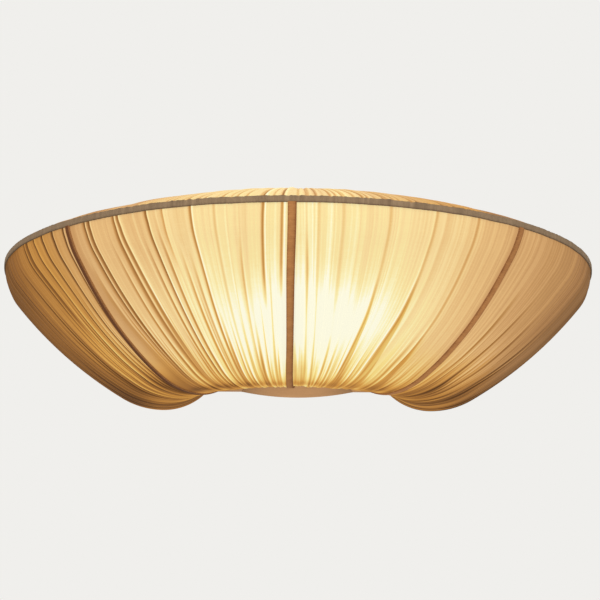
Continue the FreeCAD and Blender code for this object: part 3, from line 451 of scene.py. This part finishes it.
SLOTS = {
    "plate_paint": coated("plate_paint", srgb(238, 236, 230), srgb(205, 201, 192), 0.38, coat=0.2),
    "black_rubber": coated("black_rubber", srgb(38, 38, 39), srgb(62, 60, 58), 0.72, 1500.0, 0.3),
    "block_plastic": coated("block_plastic", srgb(233, 230, 220), srgb(196, 190, 176), 0.5, 1800.0, 0.15),
    "plated_screws": metal("plated_screws", srgb(205, 205, 200), srgb(150, 148, 142), 0.26),
    "brass_parts": metal("brass_parts", srgb(212, 176, 104), srgb(150, 112, 52), 0.24),
    "tinned_terminal": metal("tinned_terminal", srgb(214, 213, 208), srgb(160, 158, 152), 0.3),
    "plated_nuts": metal("plated_nuts", srgb(200, 198, 190), srgb(146, 142, 132), 0.28),
    "holder_plastic": coated("holder_plastic", srgb(240, 236, 226), srgb(214, 205, 188), 0.22,
                             1200.0, 0.04, 0.5),
    "wire_brown": coated("wire_brown", srgb(112, 66, 38), srgb(80, 44, 24), 0.35, 1500.0, 0.08),
    "wire_blue": coated("wire_blue", srgb(52, 96, 172), srgb(34, 66, 130), 0.35, 1500.0, 0.08),
    "wire_green": coated("wire_green", srgb(120, 160, 52), srgb(206, 196, 60), 0.35, 1500.0, 0.08),
    "bulb_glass": frosted_lamp("bulb_glass"),
    "bulb_cap": metal("bulb_cap", srgb(222, 221, 215), srgb(168, 166, 158), 0.25, (1.0, 1.0, 18.0)),
    "bulb_insulator": coated("bulb_insulator", srgb(30, 30, 33), srgb(48, 46, 50), 0.12, 600.0, 0.03, 0.6),
    "frame_wire": coated("frame_wire", srgb(236, 231, 218), srgb(196, 186, 164), 0.34, 700.0, 0.2, 0.2),
    "knob_brass": metal("knob_brass", srgb(214, 178, 108), srgb(142, 106, 50), 0.22, (12.0, 1.0, 12.0)),
    "pleated_cloth": lit_cloth("pleated_cloth", 0.05, 1500.0),
    "lining_cloth": lit_cloth("lining_cloth", 0.03, 1800.0),
    "rim_tape": tape_cloth("rim_tape", srgb(158, 132, 102), srgb(92, 72, 52), 0.0011, 0.45, "X"),
    "rib_tape": tape_cloth("rib_tape", srgb(192, 135, 78), srgb(106, 62, 31), 0.0011, 0.6, "Y"),
    "base_cloth": plain_cloth("base_cloth", srgb(210, 160, 110), srgb(140, 98, 58), 0.45),
}


# How much light comes through the cloth, from 0 dark to 1 white
ACROSS_ANGLES = (-90, -70, -50, -38, -20, 0, 20, 38, 55, 72, 90)
ACROSS = (0.34, 0.42, 0.64, 0.76, 0.88, 0.95, 0.92, 0.78, 0.65, 0.52, 0.40)
# Light of the lamps and on the flanks: strength, angle and its spread, level down and its spread
POOLS = ((0.16, 3, 20, 0.57, 0.19), (0.10, -58, 12, 0.68, 0.2), (0.09, 60, 12, 0.68, 0.2))
# Shade where the foot turns under between the lobes: strength, angle and its spread
TURNS = ((0.22, -47, 9), (0.14, 57, 9), (0.04, 0, 26))


def glow(angles, down):
    """Light through the lower side at an angle and a level."""
    wide = np.interp(angles, ACROSS_ANGLES, ACROSS) - 0.04 * (1 - step(0.0, 0.5, down))
    low = 0.51 + 0.27 * bell(angles, 0, 26) * (1 - 0.48 * step(1.0, 1.2, down))
    low = low + 0.06 * bell(np.abs(angles), 60, 18) + 0.08 * bell(angles, 30, 13)
    low = low + 0.09 * bell(np.abs(angles), 58, 16) * step(0.98, 1.12, down)
    light = mix(wide, low, step(0.84, 1.0, down))
    for strength, angle, spread, level, high in POOLS:
        light = light + strength * bell(angles, angle, spread) * bell(down, level, high)
    for strength, angle, spread in TURNS:
        light = light - strength * bell(angles, angle, spread) * bell(down, 0.88, 0.09)
    return light


def lower_glow(angles, share):
    return glow(angles, share * LOWER_LONG / CREST_RUN)


def upper_glow(angles, share):
    wide = 0.42 + 0.46 * np.exp(-((np.abs(angles + 3) / 40.0) ** 2.2))
    return wide * (1 - 0.10 * share)


# How each lower panel is gathered: crispness of its creases, pitch of its small pleats in degrees, chance
# that they lie single, levels between which they begin, and the side of a crease that catches the light
PANELS = {
    1: (1.0, 1.35, 0.50, (0.0, 0.4), 1),
    2: (1.0, 1.35, 0.42, (0.2, 0.6), 1),
    3: (0.45, 1.15, 0.66, (0.45, 0.75), -1),
    4: (0.45, 1.2, 0.66, (0.3, 0.7), -1),
}
# Light that a crease takes away and a bright edge adds, and the most that pleats darken: high up and low down
CREASE_DARK = (0.36, 0.17)
EDGE_SHINE = (0.155, 0.16)
PLEAT_LOWEST = (-0.36, -0.22)
# Main folds: angle at the rim, levels where each begins and fades (9 for never), strength, and width of the
# amber band in mm
FOLDS = {
    1: [(-79.5, 0.4, 9, 0.35, 3.0), (-76.3, 0.25, 9, 0.60, 3.0), (-73.5, 0.0, 0.3, 0.40, 0.0),
        (-68.7, 0.3, 9, 0.50, 2.5), (-66.0, 0.2, 9, 0.35, 2.0), (-61.7, 0.0, 9, 0.90, 0.0),
        (-60.3, 0.0, 0.35, 0.65, 1.0), (-57.3, 0.0, 9, 0.90, 2.0), (-54.0, 0.0, 9, 0.85, 2.0),
        (-50.3, 0.0, 9, 0.95, 2.0), (-46.8, 0.0, 9, 0.85, 0.0)],
    2: [(-43.0, 0.12, 9, 0.45, 0.0), (-40.9, 0.0, 9, 0.95, 0.0), (-39.7, 0.0, 9, 0.95, 1.5),
        (-35.6, 0.08, 9, 0.60, 1.5), (-33.8, 0.0, 9, 1.00, 0.0), (-32.9, 0.0, 9, 0.95, 1.5),
        (-28.6, 0.08, 9, 0.60, 1.5), (-26.8, 0.0, 9, 0.95, 0.0), (-24.9, 0.02, 9, 0.70, 1.5),
        (-23.6, 0.0, 0.1, 0.60, 0.0), (-21.7, 0.12, 9, 0.65, 2.0), (-19.9, 0.15, 9, 0.60, 0.0),
        (-18.1, 0.0, 9, 0.90, 2.0), (-17.0, 0.45, 9, 0.75, 4.0), (-13.7, 0.0, 9, 0.24, 0.0),
        (-13.6, 0.68, 9, 0.75, 1.5), (-11.6, 0.35, 9, 0.45, 1.5), (-9.4, 0.08, 9, 0.55, 0.0),
        (-8.0, 0.50, 9, 0.70, 4.0), (-5.0, 0.0, 0.3, 0.95, 0.0), (-5.4, 0.72, 9, 0.70, 1.0),
        (-1.7, 0.0, 0.25, 0.80, 0.0)],
    3: [(0.7, 0.50, 9, 0.85, 1.6), (1.6, 0.48, 9, 0.55, 1.0), (2.4, 0.05, 9, 0.60, 0.0),
        (4.6, 0.0, 9, 0.28, 1.5), (6.6, 0.65, 9, 0.45, 1.5), (8.9, 0.0, 9, 0.24, 0.0),
        (8.9, 0.5, 9, 0.60, 1.5), (11.6, 0.55, 9, 0.50, 1.5), (13.8, 0.65, 9, 0.50, 2.0),
        (17.3, 0.0, 9, 0.30, 0.0), (17.3, 0.2, 9, 0.75, 7.0), (24.3, 0.62, 9, 0.55, 0.0),
        (26.1, 0.0, 9, 0.34, 0.0), (26.1, 0.15, 9, 0.65, 9.0), (31.8, 0.6, 9, 0.50, 1.5),
        (33.0, 0.5, 9, 0.50, 1.0), (34.8, 0.0, 9, 0.42, 0.0), (34.8, 0.4, 9, 0.65, 5.5)],
    4: [(50.3, 0.5, 9, 0.35, 1.0), (53.5, 0.22, 9, 0.55, 1.5), (57.0, 0.5, 9, 0.30, 1.0),
        (60.3, 0.22, 9, 0.58, 2.0), (67.0, 0.28, 9, 0.58, 2.5), (76.0, 0.3, 9, 0.55, 2.5)],
}
# Folds of the upper cover: angle and strength
UPPER_FOLDS = [(-70.0, 0.4), (-58.0, 0.5), (-50.0, 0.5), (-44.0, 0.5), (-36.5, 0.6), (-31.0, 0.55),
               (-26.0, 0.4), (-18.6, 0.85), (-12.0, 0.4), (-5.0, 1.0), (-1.6, 0.95), (2.4, 0.4),
               (6.5, 0.5), (9.0, 0.35), (12.2, 0.6), (16.0, 0.5), (21.0, 0.35), (27.0, 0.45),
               (33.0, 0.4), (39.0, 0.45), (47.0, 0.5), (60.0, 0.4), (72.0, 0.4)]
# Sideways shift in degrees of the line that starts at each rim angle, at levels down to the crest
DRIFT_ANGLES = (-90, -76, -62, -57, -50, -45, -43, -40, -33.8, -32.9, -27, -18, -9, -5,
                0, 2.4, 4.6, 8.9, 17.3, 26, 34.8, 45, 53.5, 60.3, 67, 76, 90)
DRIFT_LEVELS = (0.0, 0.1, 0.3, 0.5, 0.7, 0.85, 1.0)
DRIFT = (
    (0.0,) * len(DRIFT_ANGLES),
    (0, 1.2, 1.4, 1.8, 1.2, 0.8, 0.8, 0.8, 0.6, 1.1, 0.7, 0.2, 0, -0.2,
     0, 0.1, 0, 0.1, 0, -0.4, -0.5, -0.9, -1.0, -1.0, -1.1, -1.2, 0),
    (0, 1.4, 2.4, 2.5, 1.1, -0.1, 0.6, 1.1, 1.0, 1.9, 1.2, 0.4, -0.5, -0.7,
     -0.4, 0.6, 0.2, 0.2, 0.1, -0.3, -0.2, -0.5, -1.0, -1.1, -1.3, -1.3, 0),
    (0, 0.9, 2.1, 2.0, 0.6, -1.3, 1.0, 1.5, 1.4, 2.5, 1.5, 0.3, -0.8, -0.9,
     -0.7, 0.8, 0.4, 0.5, -0.2, -1.0, -0.3, 0, -1.1, -2.1, -1.4, -1.7, 0),
    (0, 0.9, 1.4, 1.3, 0.9, -2.0, 2.4, 2.2, 2.0, 3.1, 1.8, 0.3, -1.0, -1.2,
     -1.1, 1.1, 0.6, 0.7, -1.6, -3.0, -1.6, -0.1, -2.0, -3.6, -1.9, -3.7, 0),
    (0, 2.5, 2.2, 2.6, 2.2, -1.6, 3.3, 3.1, 2.6, 3.4, 2.4, 0.4, -1.1, -1.5,
     -1.6, 1.3, 0.8, -0.1, -3.0, -4.7, -4.0, -1.2, -4.8, -5.0, -4.8, -6.7, 0),
    (0, 4.0, 4.0, 4.0, 3.2, -0.6, 4.0, 4.0, 3.2, 3.7, 2.8, 0.5, -1.1, -1.7,
     -2.0, 1.3, 0.8, -1.2, -4.0, -5.8, -5.4, -2.5, -6.0, -6.5, -6.5, -8.0, 0),
)


# Size of the finer map that is worked out from the drift
MAP_ROWS = 131
MAP_COLUMNS = 361


def smooth(table, reach, axis):
    """Running mean over a number of places each way along one axis."""
    wide = np.pad(table, [(reach, reach) if k == axis else (0, 0) for k in range(table.ndim)], "edge")
    size = table.shape[axis]
    parts = [np.take(wide, range(k, k + size), axis) for k in range(2 * reach + 1)]
    return np.mean(parts, 0)


def drift_map():
    """The drift, with a row for each hundredth of the way down and a column for each half degree."""
    angles = np.linspace(*ALL_ROUND, MAP_COLUMNS)
    levels = np.linspace(0, 1.3, MAP_ROWS)
    rows = np.stack([np.interp(angles, DRIFT_ANGLES, row) for row in DRIFT])
    table = np.stack([np.interp(levels, DRIFT_LEVELS, column) for column in rows.T], 1)
    table = smooth(smooth(smooth(table, 5, 0), 5, 0), 1, 1)
    ends = step(0.0, 4.0, 90 - np.abs(angles))
    return table * ends * step(0.0, 0.06, levels)[:, None]


DRIFT_MAP = drift_map()


def drift(angle, down):
    """Drift in degrees at rim angles and levels down, read between the places of the map."""
    column = (np.asarray(angle) + 90) * 2
    row = np.clip(np.asarray(down) * 100, 0, MAP_ROWS - 1.01)
    c = np.minimum(column.astype(int), MAP_COLUMNS - 2)
    r = row.astype(int)
    upper = mix(DRIFT_MAP[r, c], DRIFT_MAP[r, c + 1], column - c)
    lower = mix(DRIFT_MAP[r + 1, c], DRIFT_MAP[r + 1, c + 1], column - c)
    return mix(upper, lower, row - r)


class Pleats:
    """Light, amber, painted shade of the creases and painted highlights on their edges, for one panel's
    pleats, as arrays of rows by columns.
    """

    def __init__(self, u, runs, side):
        self.u = u
        self.side = side
        self.radius = lower_outline(runs)[0]
        self.down = (runs / CREST_RUN)[:, None]
        shape = (len(runs), len(u))
        self.light = np.zeros(shape)
        self.amber = np.zeros(shape)
        self.dark = np.zeros(shape)
        self.bright = np.zeros(shape)

    def fold(self, angle, start, end, strength, band, soft):
        """A crease of painted shade with a painted highlight on one side, and an amber band of painted shade
        where the cloth lies double.
        """
        shown = strength * (1 - step(end, end + 0.25, self.down))
        if start > 0:
            shown = shown * step(start, start + 0.28, self.down)
        off = np.radians(self.u - angle) * self.radius * MM
        soft = soft * min(1.7, 1 / math.cos(math.radians(angle)))
        self.dark = np.maximum(self.dark, shown * bell(off, 0.0, soft))
        ahead = self.side * off
        tail = np.exp(-np.maximum(ahead, 0.0) / 6.0) * step(0.0, 1.2, ahead)
        self.bright += shown * (bell(ahead, soft + 0.9, 0.9) + 0.30 * tail)
        if band:
            tip = max(start, 0.15) + 0.12
            wide = band * np.clip((self.down - tip) / (0.95 - tip), 0.0, 1.15)
            inside = step(tip, tip + 0.25, self.down) * step(0.0, 0.8, -ahead)
            inside = inside * (1 - step(wide, wide + 1.2, -ahead))
            self.light -= (0.11 if band < 4 else 0.16) * inside
            self.amber += 0.9 * inside

    def small_folds(self, rng, ends, number):
        """Small pleats between the main folds, mostly towards the crest; gives the edges between them."""
        crisp, pitch, _, earliest, _ = PANELS[number]
        main = np.array([fold[0] for fold in FOLDS[number]])
        edges = [ends[0]]
        while edges[-1] < ends[1]:
            edges.append(edges[-1] + pitch * rng.uniform(0.6, 1.5))
        for edge in edges[1:-1]:
            strength = rng.uniform(0.30, 0.80) * mix(0.7, 1.0, crisp) * mix(1.0, 0.35, step(-70, -76, edge))
            start = rng.uniform(*earliest)
            band = rng.choice([0.0, 1.6, 2.6])
            if np.abs(main - edge).min() > 0.5 * pitch:
                self.fold(edge, start, 9, strength, band, 0.85)
        return np.array(edges)


def panel_cover(number):
    """One pleated panel of the lower side, from rib to rib."""
    crisp, _, single, _, side = PANELS[number]
    rng = np.random.default_rng(PANEL_SEED + number)
    ends = (-90 + 45 * (number - 1), -45 + 45 * (number - 1))
    gap = math.degrees(SEAM / RIM)
    u = np.linspace(ends[0] + gap, ends[1] - gap, PANEL_GRID[0])
    runs = np.linspace(PANEL_START, LOWER_LONG + HEM, PANEL_GRID[1])
    p = Pleats(u, runs, side)
    down = p.down
    angles = u + drift(u, down)
    for fold in FOLDS[number]:
        p.fold(*fold, mix(1.7, 1.4, crisp))
    edges = p.small_folds(rng, ends, number)
    low = step(0.50, 0.92, down)
    foot = step(0.80, 0.96, down)
    # Bands of double cloth between neighbouring pleats in painted shade, each pleat lighter on one side as
    # painted light, and a random tone per pleat
    cell = np.searchsorted(edges, u) - 1
    tone = rng.normal(0.0, 1.0, len(edges) + 1)[cell]
    layered = step(single, single + 0.2, rng.random(len(edges) + 1))[cell]
    within = (u - edges[cell]) / (edges[cell + 1] - edges[cell])
    middle = bell(u, 1.0, 13.0)
    onset = step(0.52 + 0.22 * middle, 0.90 + 0.08 * middle, down)
    hill = step(0.05, 0.25, within) * (1 - step(0.7, 0.95, within)) * layered * onset
    p.light += tone * mix(0.010, 0.025, low) + side * (0.5 - within) * mix(0.012, 0.04, low) - 0.09 * hill
    # Very fine pleats and a slow change all round
    ripple = wander(rng, u, ends, 167, 1.0)
    wobble = wander(rng, u, ends, 12, 1.0)
    p.light += ripple * mix(0.022, 0.012, low) * mix(1.35, 0.85, crisp) + wobble * 0.010
    # Painted shade in the creases and painted highlights on their edges, the highlights softer where the
    # cloth is nearly white
    through = glow(angles, down)
    bright = np.minimum(p.bright, 1.0)
    crease = mix(*CREASE_DARK, foot) * mix(0.78, 1.0, crisp) * (1 - 0.25 * step(0.93, 1.0, through))
    shine = mix(*EDGE_SHINE, low) * mix(0.6, 1.0, crisp) * (1 - 0.4 * foot)
    shine = shine * (1 - 0.45 * step(0.84, 0.92, through) * (1 - low))
    p.light += np.minimum(p.bright, 1.1) * shine - p.dark * crease
    # The hem turns under and lies in shade, with a lit ridge over the ring
    ridge = 1 - step(40, 60, np.abs(u))
    shade = mix(0.10, 0.03, step(5, 20, u))
    hem = 0.10 * bell(down, 1.03, 0.03) - shade * bell(down, 0.96, 0.03)
    light = through + np.maximum(p.light, mix(*PLEAT_LOWEST, foot)) + hem * ridge
    # Amber tint of the painted light towards the left end, at the foot and in the folds
    left = 0.9 * step(-42, -58, u)
    double = np.clip(p.amber + 0.8 * p.dark + hill, 0, 1)
    amber = 1 - (1 - left) * (1 - 0.95 * step(0.58, 0.90, down)) * (1 - double)
    amber = np.clip(amber - 0.45 * bright * (1 - foot) * (1 - left), 0.0, 1.0)
    # Depth of the folds, from the ridge on the outline to the valley on the lining
    flat, crease_deep, ridge_high = LOWER_DEPTHS
    deep = flat + crease_deep * p.dark - ridge_high * bright + 0.0003 * (within - 0.5) * side
    deep = deep + 0.00025 * ripple * mix(1.0, 0.4, low) + 0.0003 * tone * low
    border = np.radians(np.minimum(u - u[0], u[-1] - u)) * p.radius * MM
    deep = np.clip(deep * (0.3 + 0.7 * step(0.0, 3.0, border)), 0.0, LOWER_VALLEY)
    # The hem's end goes in over the board's edge
    deep = mix(deep, 0.0004 + 0.15 * deep, step(LOWER_LONG - 0.007, LOWER_LONG + 0.001, runs)[:, None])
    points = lower_grid(runs, angles, deep)
    values = {"light": light, "amber": amber}
    obj = grid_mesh("pleated_panel_%d" % number, points, values, np.radians(u) * RIM, runs[:, None])
    put_on_shade(obj, "cover_lower_%d" % number, "pleated_cloth")


def upper_cover():
    """The pleated cone above the rim, gathered towards the top ring."""
    rng = np.random.default_rng(CONE_SEED)
    u = np.linspace(*ALL_ROUND, CONE_GRID[0])
    runs = UPPER_LONG * np.linspace(0.0, 1.0, CONE_GRID[1]) ** 1.5
    share = (runs / UPPER_LONG)[:, None]
    radius = upper_outline(runs)[0]
    dark = np.zeros((len(runs), len(u)))
    bright = np.zeros((len(runs), len(u)))
    between = [-90.0]
    while between[-1] < 90:
        between.append(between[-1] + rng.uniform(0.9, 2.6))
    for angle, strength in UPPER_FOLDS + [(angle, rng.uniform(0.1, 0.5)) for angle in between]:
        off = np.radians(u - angle) * radius * MM
        dark = np.maximum(dark, strength * bell(off, 0.0, 1.2))
        bright = bright + strength * bell(off, 2.4 if angle < 14 else -2.4, 1.5)
    bright = np.minimum(bright, 1.0)
    tone = wander(rng, u, ALL_ROUND, 70, 1.0)
    right = step(12, 26, u) * (1 - step(40, 60, u))
    # Painted shade in the folds, painted highlights beside them, and less light on the right
    light = upper_glow(u, share) + tone * 0.035 - dark * 0.46 + bright * 0.09 - 0.06 * right
    amber = np.clip(0.12 + dark * 0.7 + 0.45 * step(12, 30, u) + tone * 0.1, 0, 1)
    swell = wander(rng, u, ALL_ROUND, 64, 1.0)
    flat, crease_deep, ridge_high = UPPER_DEPTHS
    deep = flat + crease_deep * dark - ridge_high * bright + 0.0004 * swell * (1 - share)
    points = upper_grid(runs, u, np.clip(deep, 0.0, UPPER_VALLEY))
    points[..., 2] += puff(share, u)
    values = {"light": light, "amber": amber}
    obj = grid_mesh("pleated_cone", points, values, np.radians(u) * RIM, runs[:, None])
    put_on_shade(obj, "cover_upper", "pleated_cloth")


def lining(name, node, grid, ends, glow_of):
    """Smooth stretched lining: an outer and an inner face, joined round the edge."""
    u = np.linspace(*ALL_ROUND, LINING_GRID[0])
    runs = np.linspace(*ends, LINING_GRID[1])
    share = (runs / ends[1])[:, None]
    pull = 0.0002 * np.cos(np.radians(u * 8)) * np.sin(share * math.pi)
    points = grid(runs, u, LINING_DEEP + CLOTH / 2 + pull)
    light = 0.36 + 0.62 * np.clip(glow_of(u, share), 0, 1)
    obj = grid_mesh(name, points, {"light": light, "amber": 0.25}, np.radians(u) * RIM, runs[:, None])
    thick = obj.modifiers.new("cloth", "SOLIDIFY")
    thick.thickness = CLOTH
    thick.offset = 0.0
    put_on_shade(obj, node, "lining_cloth")


def strip_profile(half, thick, points, tuck):
    """Across a tape: place from edge to edge and height over the cloth, with its edges tucked down."""
    place = np.linspace(-1, 1, points)
    height = thick * (1 - 0.22 * place ** 2)
    return np.concatenate([[-half], place * half, [half]]), np.concatenate([[-tuck], height, [-tuck]])


def rim_ribbon():
    """Woven ribbon round the rim, sewn over the joint of the two covers."""
    rng = np.random.default_rng(RIBBON_SEED)
    u = np.linspace(*ALL_ROUND, RIBBON_GRID[0])
    place, height = strip_profile((RIBBON_TOP - RIBBON_LOW) / 2, RIBBON_THICK, RIBBON_GRID[1], RIBBON_TUCK)
    # From above the rim to below it, over the shoulder
    level = ((RIBBON_TOP + RIBBON_LOW) / 2 - place)[:, None]
    share = np.linspace(0, 1, len(level))[:, None]
    upper = 1 - share
    wave = wander(rng, u, ALL_ROUND, 60, 0.00026)
    pinch = wander(rng, u, ALL_ROUND, 420, 1.0) * mix(1.0, 0.35, step(15, 50, np.abs(u)))
    fray = rng.normal(0.0, 0.00006, len(u))
    z = level + 0.6 * wave + fray * (share ** 2 + 1.5 * upper ** 2) + 0.0003 * pinch * upper ** 3
    sag = np.where(z < 0, SHOULDER - np.sqrt(np.maximum(SHOULDER ** 2 - z ** 2, 0)), 0.0)
    r = RIM + TRIM_LIFT + height[:, None] * (1 + 0.25 * pinch * upper) - sag
    # Painted shade along the ribbon's lower and upper edges and where it is gathered
    edge = bell(share, 1.0, 0.18) + 0.45 * bell(share, 0.0, 0.12) + 0.20 * pinch * (1 - 0.5 * share)
    values = {"light": 0.42 + 0.58 * bell(u, 4, 58), "edge": np.clip(edge, -0.35, 1)}
    obj = grid_mesh("ribbon", round_points(r, z, u), values, np.radians(u) * RIM, share * 0.0065)
    put_on_shade(obj, "rim_ribbon", "rim_tape")


def rib_tape(node, angle, wide, shades, bright):
    """Tape sewn over a rib, from under the ribbon to the foot: widths, painted shade across it, light down
    it.
    """
    place, height = strip_profile(TAPE_HALF, TAPE_THICK, TAPE_GRID[0], TAPE_TUCK)
    # From just behind the ribbon's lower edge to just short of the cloth's end
    start = SHOULDER * math.asin(-RIBBON_LOW / SHOULDER) - 0.0006
    end = LOWER_LONG - 0.0004
    runs = np.linspace(start, end, TAPE_GRID[1])
    share = ((runs - start) / (end - start))[:, None]
    r, z, facing = lower_outline(runs)
    r = r + (TRIM_LIFT + height) * np.cos(facing)
    z = z - (TRIM_LIFT + height) * np.sin(facing)
    rng = np.random.default_rng(int(angle) + TAPE_SEED)
    sway = wander(rng, share, (0, 1), 9, 0.00012)
    side = place * np.interp(share, np.linspace(0, 1, len(wide)), wide) + sway
    turn = np.radians(angle + drift(np.full_like(runs, angle), runs / CREST_RUN))[:, None]
    x = r * np.sin(turn) + side * np.cos(turn)
    y = side * np.sin(turn) - r * np.cos(turn) - WALL_GAP
    light = np.interp(share, np.linspace(0, 1, len(bright)), bright)
    # Painted shade across the tape
    edge = np.interp(place / TAPE_HALF, np.linspace(-1, 1, len(shades)), shades)
    values = {"light": light, "edge": edge}
    obj = grid_mesh(node.replace("rib_", ""), np.stack([x, y, z], -1), values, place, runs[:, None])
    put_on_shade(obj, node, "rib_tape")


def half_turned(name, node, section, light_of):
    """Half-round piece turned from a section that begins and ends on the axis, closed along its back."""
    r, z = np.array(section).T[:, :, None]
    u = np.linspace(*ALL_ROUND, TURNED_POINTS)
    points = round_points(r, z + 0 * u, u)
    obj = grid_mesh(name, points, {"light": light_of(points, r)}, points[..., 0], points[..., 1])
    shell = bmesh.new()
    shell.from_mesh(obj.data)
    bmesh.ops.remove_doubles(shell, verts=shell.verts, dist=0.00001)
    bmesh.ops.holes_fill(shell, edges=[edge for edge in shell.edges if edge.is_boundary], sides=0)
    bmesh.ops.recalc_face_normals(shell, faces=shell.faces)
    shell.to_mesh(obj.data)
    shell.free()
    put_on_shade(obj, node, "base_cloth")


def base_board():
    """Cloth-covered half disc inside the recess, its cloth drawn round the board's edge."""
    low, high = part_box("bottom_disc")
    rad = high[0]
    inner = rad - BOARD_SOFT
    turns = np.radians(np.linspace(0, 90, 7))
    bends = [(BOARD_SOFT * math.cos(t), BOARD_SOFT * math.sin(t)) for t in turns]
    section = [(share * rad, low[2]) for share in (0, 0.3, 0.55, 0.7, 0.85, 0.95, 0.985)]
    section += [(inner + rise, low[2] + BOARD_SOFT - out) for out, rise in bends[1:]]
    section += [(inner + out, high[2] - BOARD_SOFT + rise) for out, rise in bends]
    section += [(rad * 0.8, high[2]), (0.0, high[2])]

    def lit(points, r):
        return np.clip(0.6 + 1.4 * points[..., 0], 0, 1)

    half_turned("base_board", "bottom_disc", section, lit)


def base_cap():
    """Domed half cap below the board: cloth drawn over a form, with a rolled edge."""
    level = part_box("bottom_cap")[1][2]
    dome = (CAP_RADIUS * CAP_RADIUS + CAP_DROP * CAP_DROP) / (2 * CAP_DROP)
    turns = np.linspace(0, math.pi / 2, 26)
    reach = [min(CAP_RADIUS * math.sin(t) ** 0.9, CAP_RADIUS - 0.0004) for t in turns]
    section = [(r, level - CAP_DROP + dome - math.sqrt(dome * dome - r * r)) for r in reach]
    rolled = [(0.00005, 0.00055), (0.0001, 0.0001), (0.0006, 0.0)]
    section += [(CAP_RADIUS - inward, level - down) for inward, down in rolled] + [(0.0, level)]

    def lit(points, r):
        across = points[..., 0] / CAP_RADIUS
        dim = 0.35 * (r / CAP_RADIUS) ** 3 + 0.75 * np.abs(across) ** 2.2 - 0.06 * across
        return np.clip(1.0 - dim, 0, 1)

    half_turned("base_cap", "bottom_cap", section, lit)


for number in PANELS:
    panel_cover(number)
upper_cover()
lining("lining_low", "lining_lower", lower_grid, (0.0, LOWER_LONG + HEM), lower_glow)
lining("lining_high", "lining_upper", upper_grid, (0.004, UPPER_LONG), upper_glow)
rim_ribbon()
rib_tape("rib_tape_centre", 0.0, (1.38, 1.3, 1.15, 1.1, 1.25), (0.4, 0.05, 0.1, 0.3, 1.0),
         (1.15, 1.1, 1.0, 0.75, 0.2))
rib_tape("rib_tape_left", -45.0, (1.0, 0.95, 0.85), (0.8, 1.3, 1.3, 0.6, -0.1), (0.35, 0.3, 0.2, 0.1))
rib_tape("rib_tape_right", 45.0, (1.15, 1.15, 1.0), (0.5, 0.2, 0.15, 0.2, 0.5), (0.75, 1.1, 1.05, 0.9))
base_board()
base_cap()


# Carried-over nodes
def dress_nodes():
    slot_of = {part["node"]: part["material_slot"] for part in frame["record"]["subparts"]}
    for name, obj in frame["nodes"].items():
        if obj.hide_render:
            continue
        for slot in obj.material_slots:
            slot.link = "OBJECT"
            slot.material = SLOTS[slot_of[name]]


dress_nodes()


# Stage and light
BACKDROP = srgb(240, 239, 236)
FLOOR_HALF = 17.0
FLOOR_LEVEL = -3.60
FLOOR_SEEN = 0.7
ROOM_GREY = (0.78, 0.78, 0.78, 1.0)
ROOM_STRENGTH = 0.75


def make_floor():
    corners = [(x * FLOOR_HALF, y * FLOOR_HALF, FLOOR_LEVEL) for x, y in ((-1, -1), (1, -1), (1, 1), (-1, 1))]
    mesh = bpy.data.meshes.new("floor")
    mesh.from_pydata(corners, [], [(0, 1, 2, 3)])
    floor = bpy.data.objects.new("floor", mesh)
    bpy.context.scene.collection.objects.link(floor)
    return floor


def area_lamp(name, place, aim, size, power, colour):
    data = bpy.data.lights.new(name, "AREA")
    data.shape = "SQUARE"
    data.size = size
    data.energy = power
    data.color = colour
    lamp = bpy.data.objects.new(name, data)
    lamp.location = place
    lamp.rotation_euler = (Vector(aim) - Vector(place)).to_track_quat("-Z", "Y").to_euler()
    bpy.context.scene.collection.objects.link(lamp)


def pale_for_camera(tree, seen_kind, lit, amount):
    """Shows the backdrop's colour to the camera, while the shader keeps its own light for the object."""
    pale = tree.nodes.new(seen_kind)
    pale.inputs["Color"].default_value = BACKDROP
    path = tree.nodes.new("ShaderNodeLightPath")
    seen = tree.nodes.new("ShaderNodeMath")
    seen.operation = "MAXIMUM"
    share = tree.nodes.new("ShaderNodeMath")
    share.operation = "MULTIPLY"
    share.inputs[1].default_value = amount
    tree.links.new(path.outputs["Is Camera Ray"], seen.inputs[0])
    tree.links.new(path.outputs["Is Transmission Ray"], seen.inputs[1])
    tree.links.new(seen.outputs[0], share.inputs[0])
    both = tree.nodes.new("ShaderNodeMixShader")
    tree.links.new(share.outputs[0], both.inputs[0])
    tree.links.new(lit, both.inputs[1])
    tree.links.new(pale.outputs[0], both.inputs[2])
    return both.outputs[0]


def make_stage():
    paint = Nodes("floor_paint")
    grain = paint.noise(paint.place(), 3.0, 4.0)
    paint.surface(Base_Color=paint.blend(srgb(249, 248, 246), srgb(243, 242, 239), grain), Roughness=0.75)
    face = pale_for_camera(paint.tree, "ShaderNodeEmission", paint.shader.outputs[0], FLOOR_SEEN)
    paint.tree.links.new(face, paint.tree.nodes["Material Output"].inputs["Surface"])
    floor = make_floor()
    floor.data.materials.append(paint.material)
    world = bpy.data.worlds.new("studio")
    world.use_nodes = True
    bpy.context.scene.world = world
    back = world.node_tree.nodes["Background"]
    back.inputs["Color"].default_value = ROOM_GREY
    back.inputs["Strength"].default_value = ROOM_STRENGTH
    face = pale_for_camera(world.node_tree, "ShaderNodeBackground", back.outputs[0], 1.0)
    world.node_tree.links.new(face, world.node_tree.nodes["World Output"].inputs["Surface"])
    area_lamp("key", (-1.6, -2.4, 1.5), (0, -0.15, 0), 1.8, 26.0, (1.0, 0.985, 0.96))
    area_lamp("fill", (2.2, -1.8, 0.6), (0, -0.15, 0), 2.2, 15.0, (0.97, 0.985, 1.0))
    area_lamp("back", (0.4, 2.4, 1.4), (0, 0, 0), 2.0, 20.0, (1.0, 1.0, 1.0))
    bpy.context.scene.view_settings.view_transform = "Standard"


make_stage()
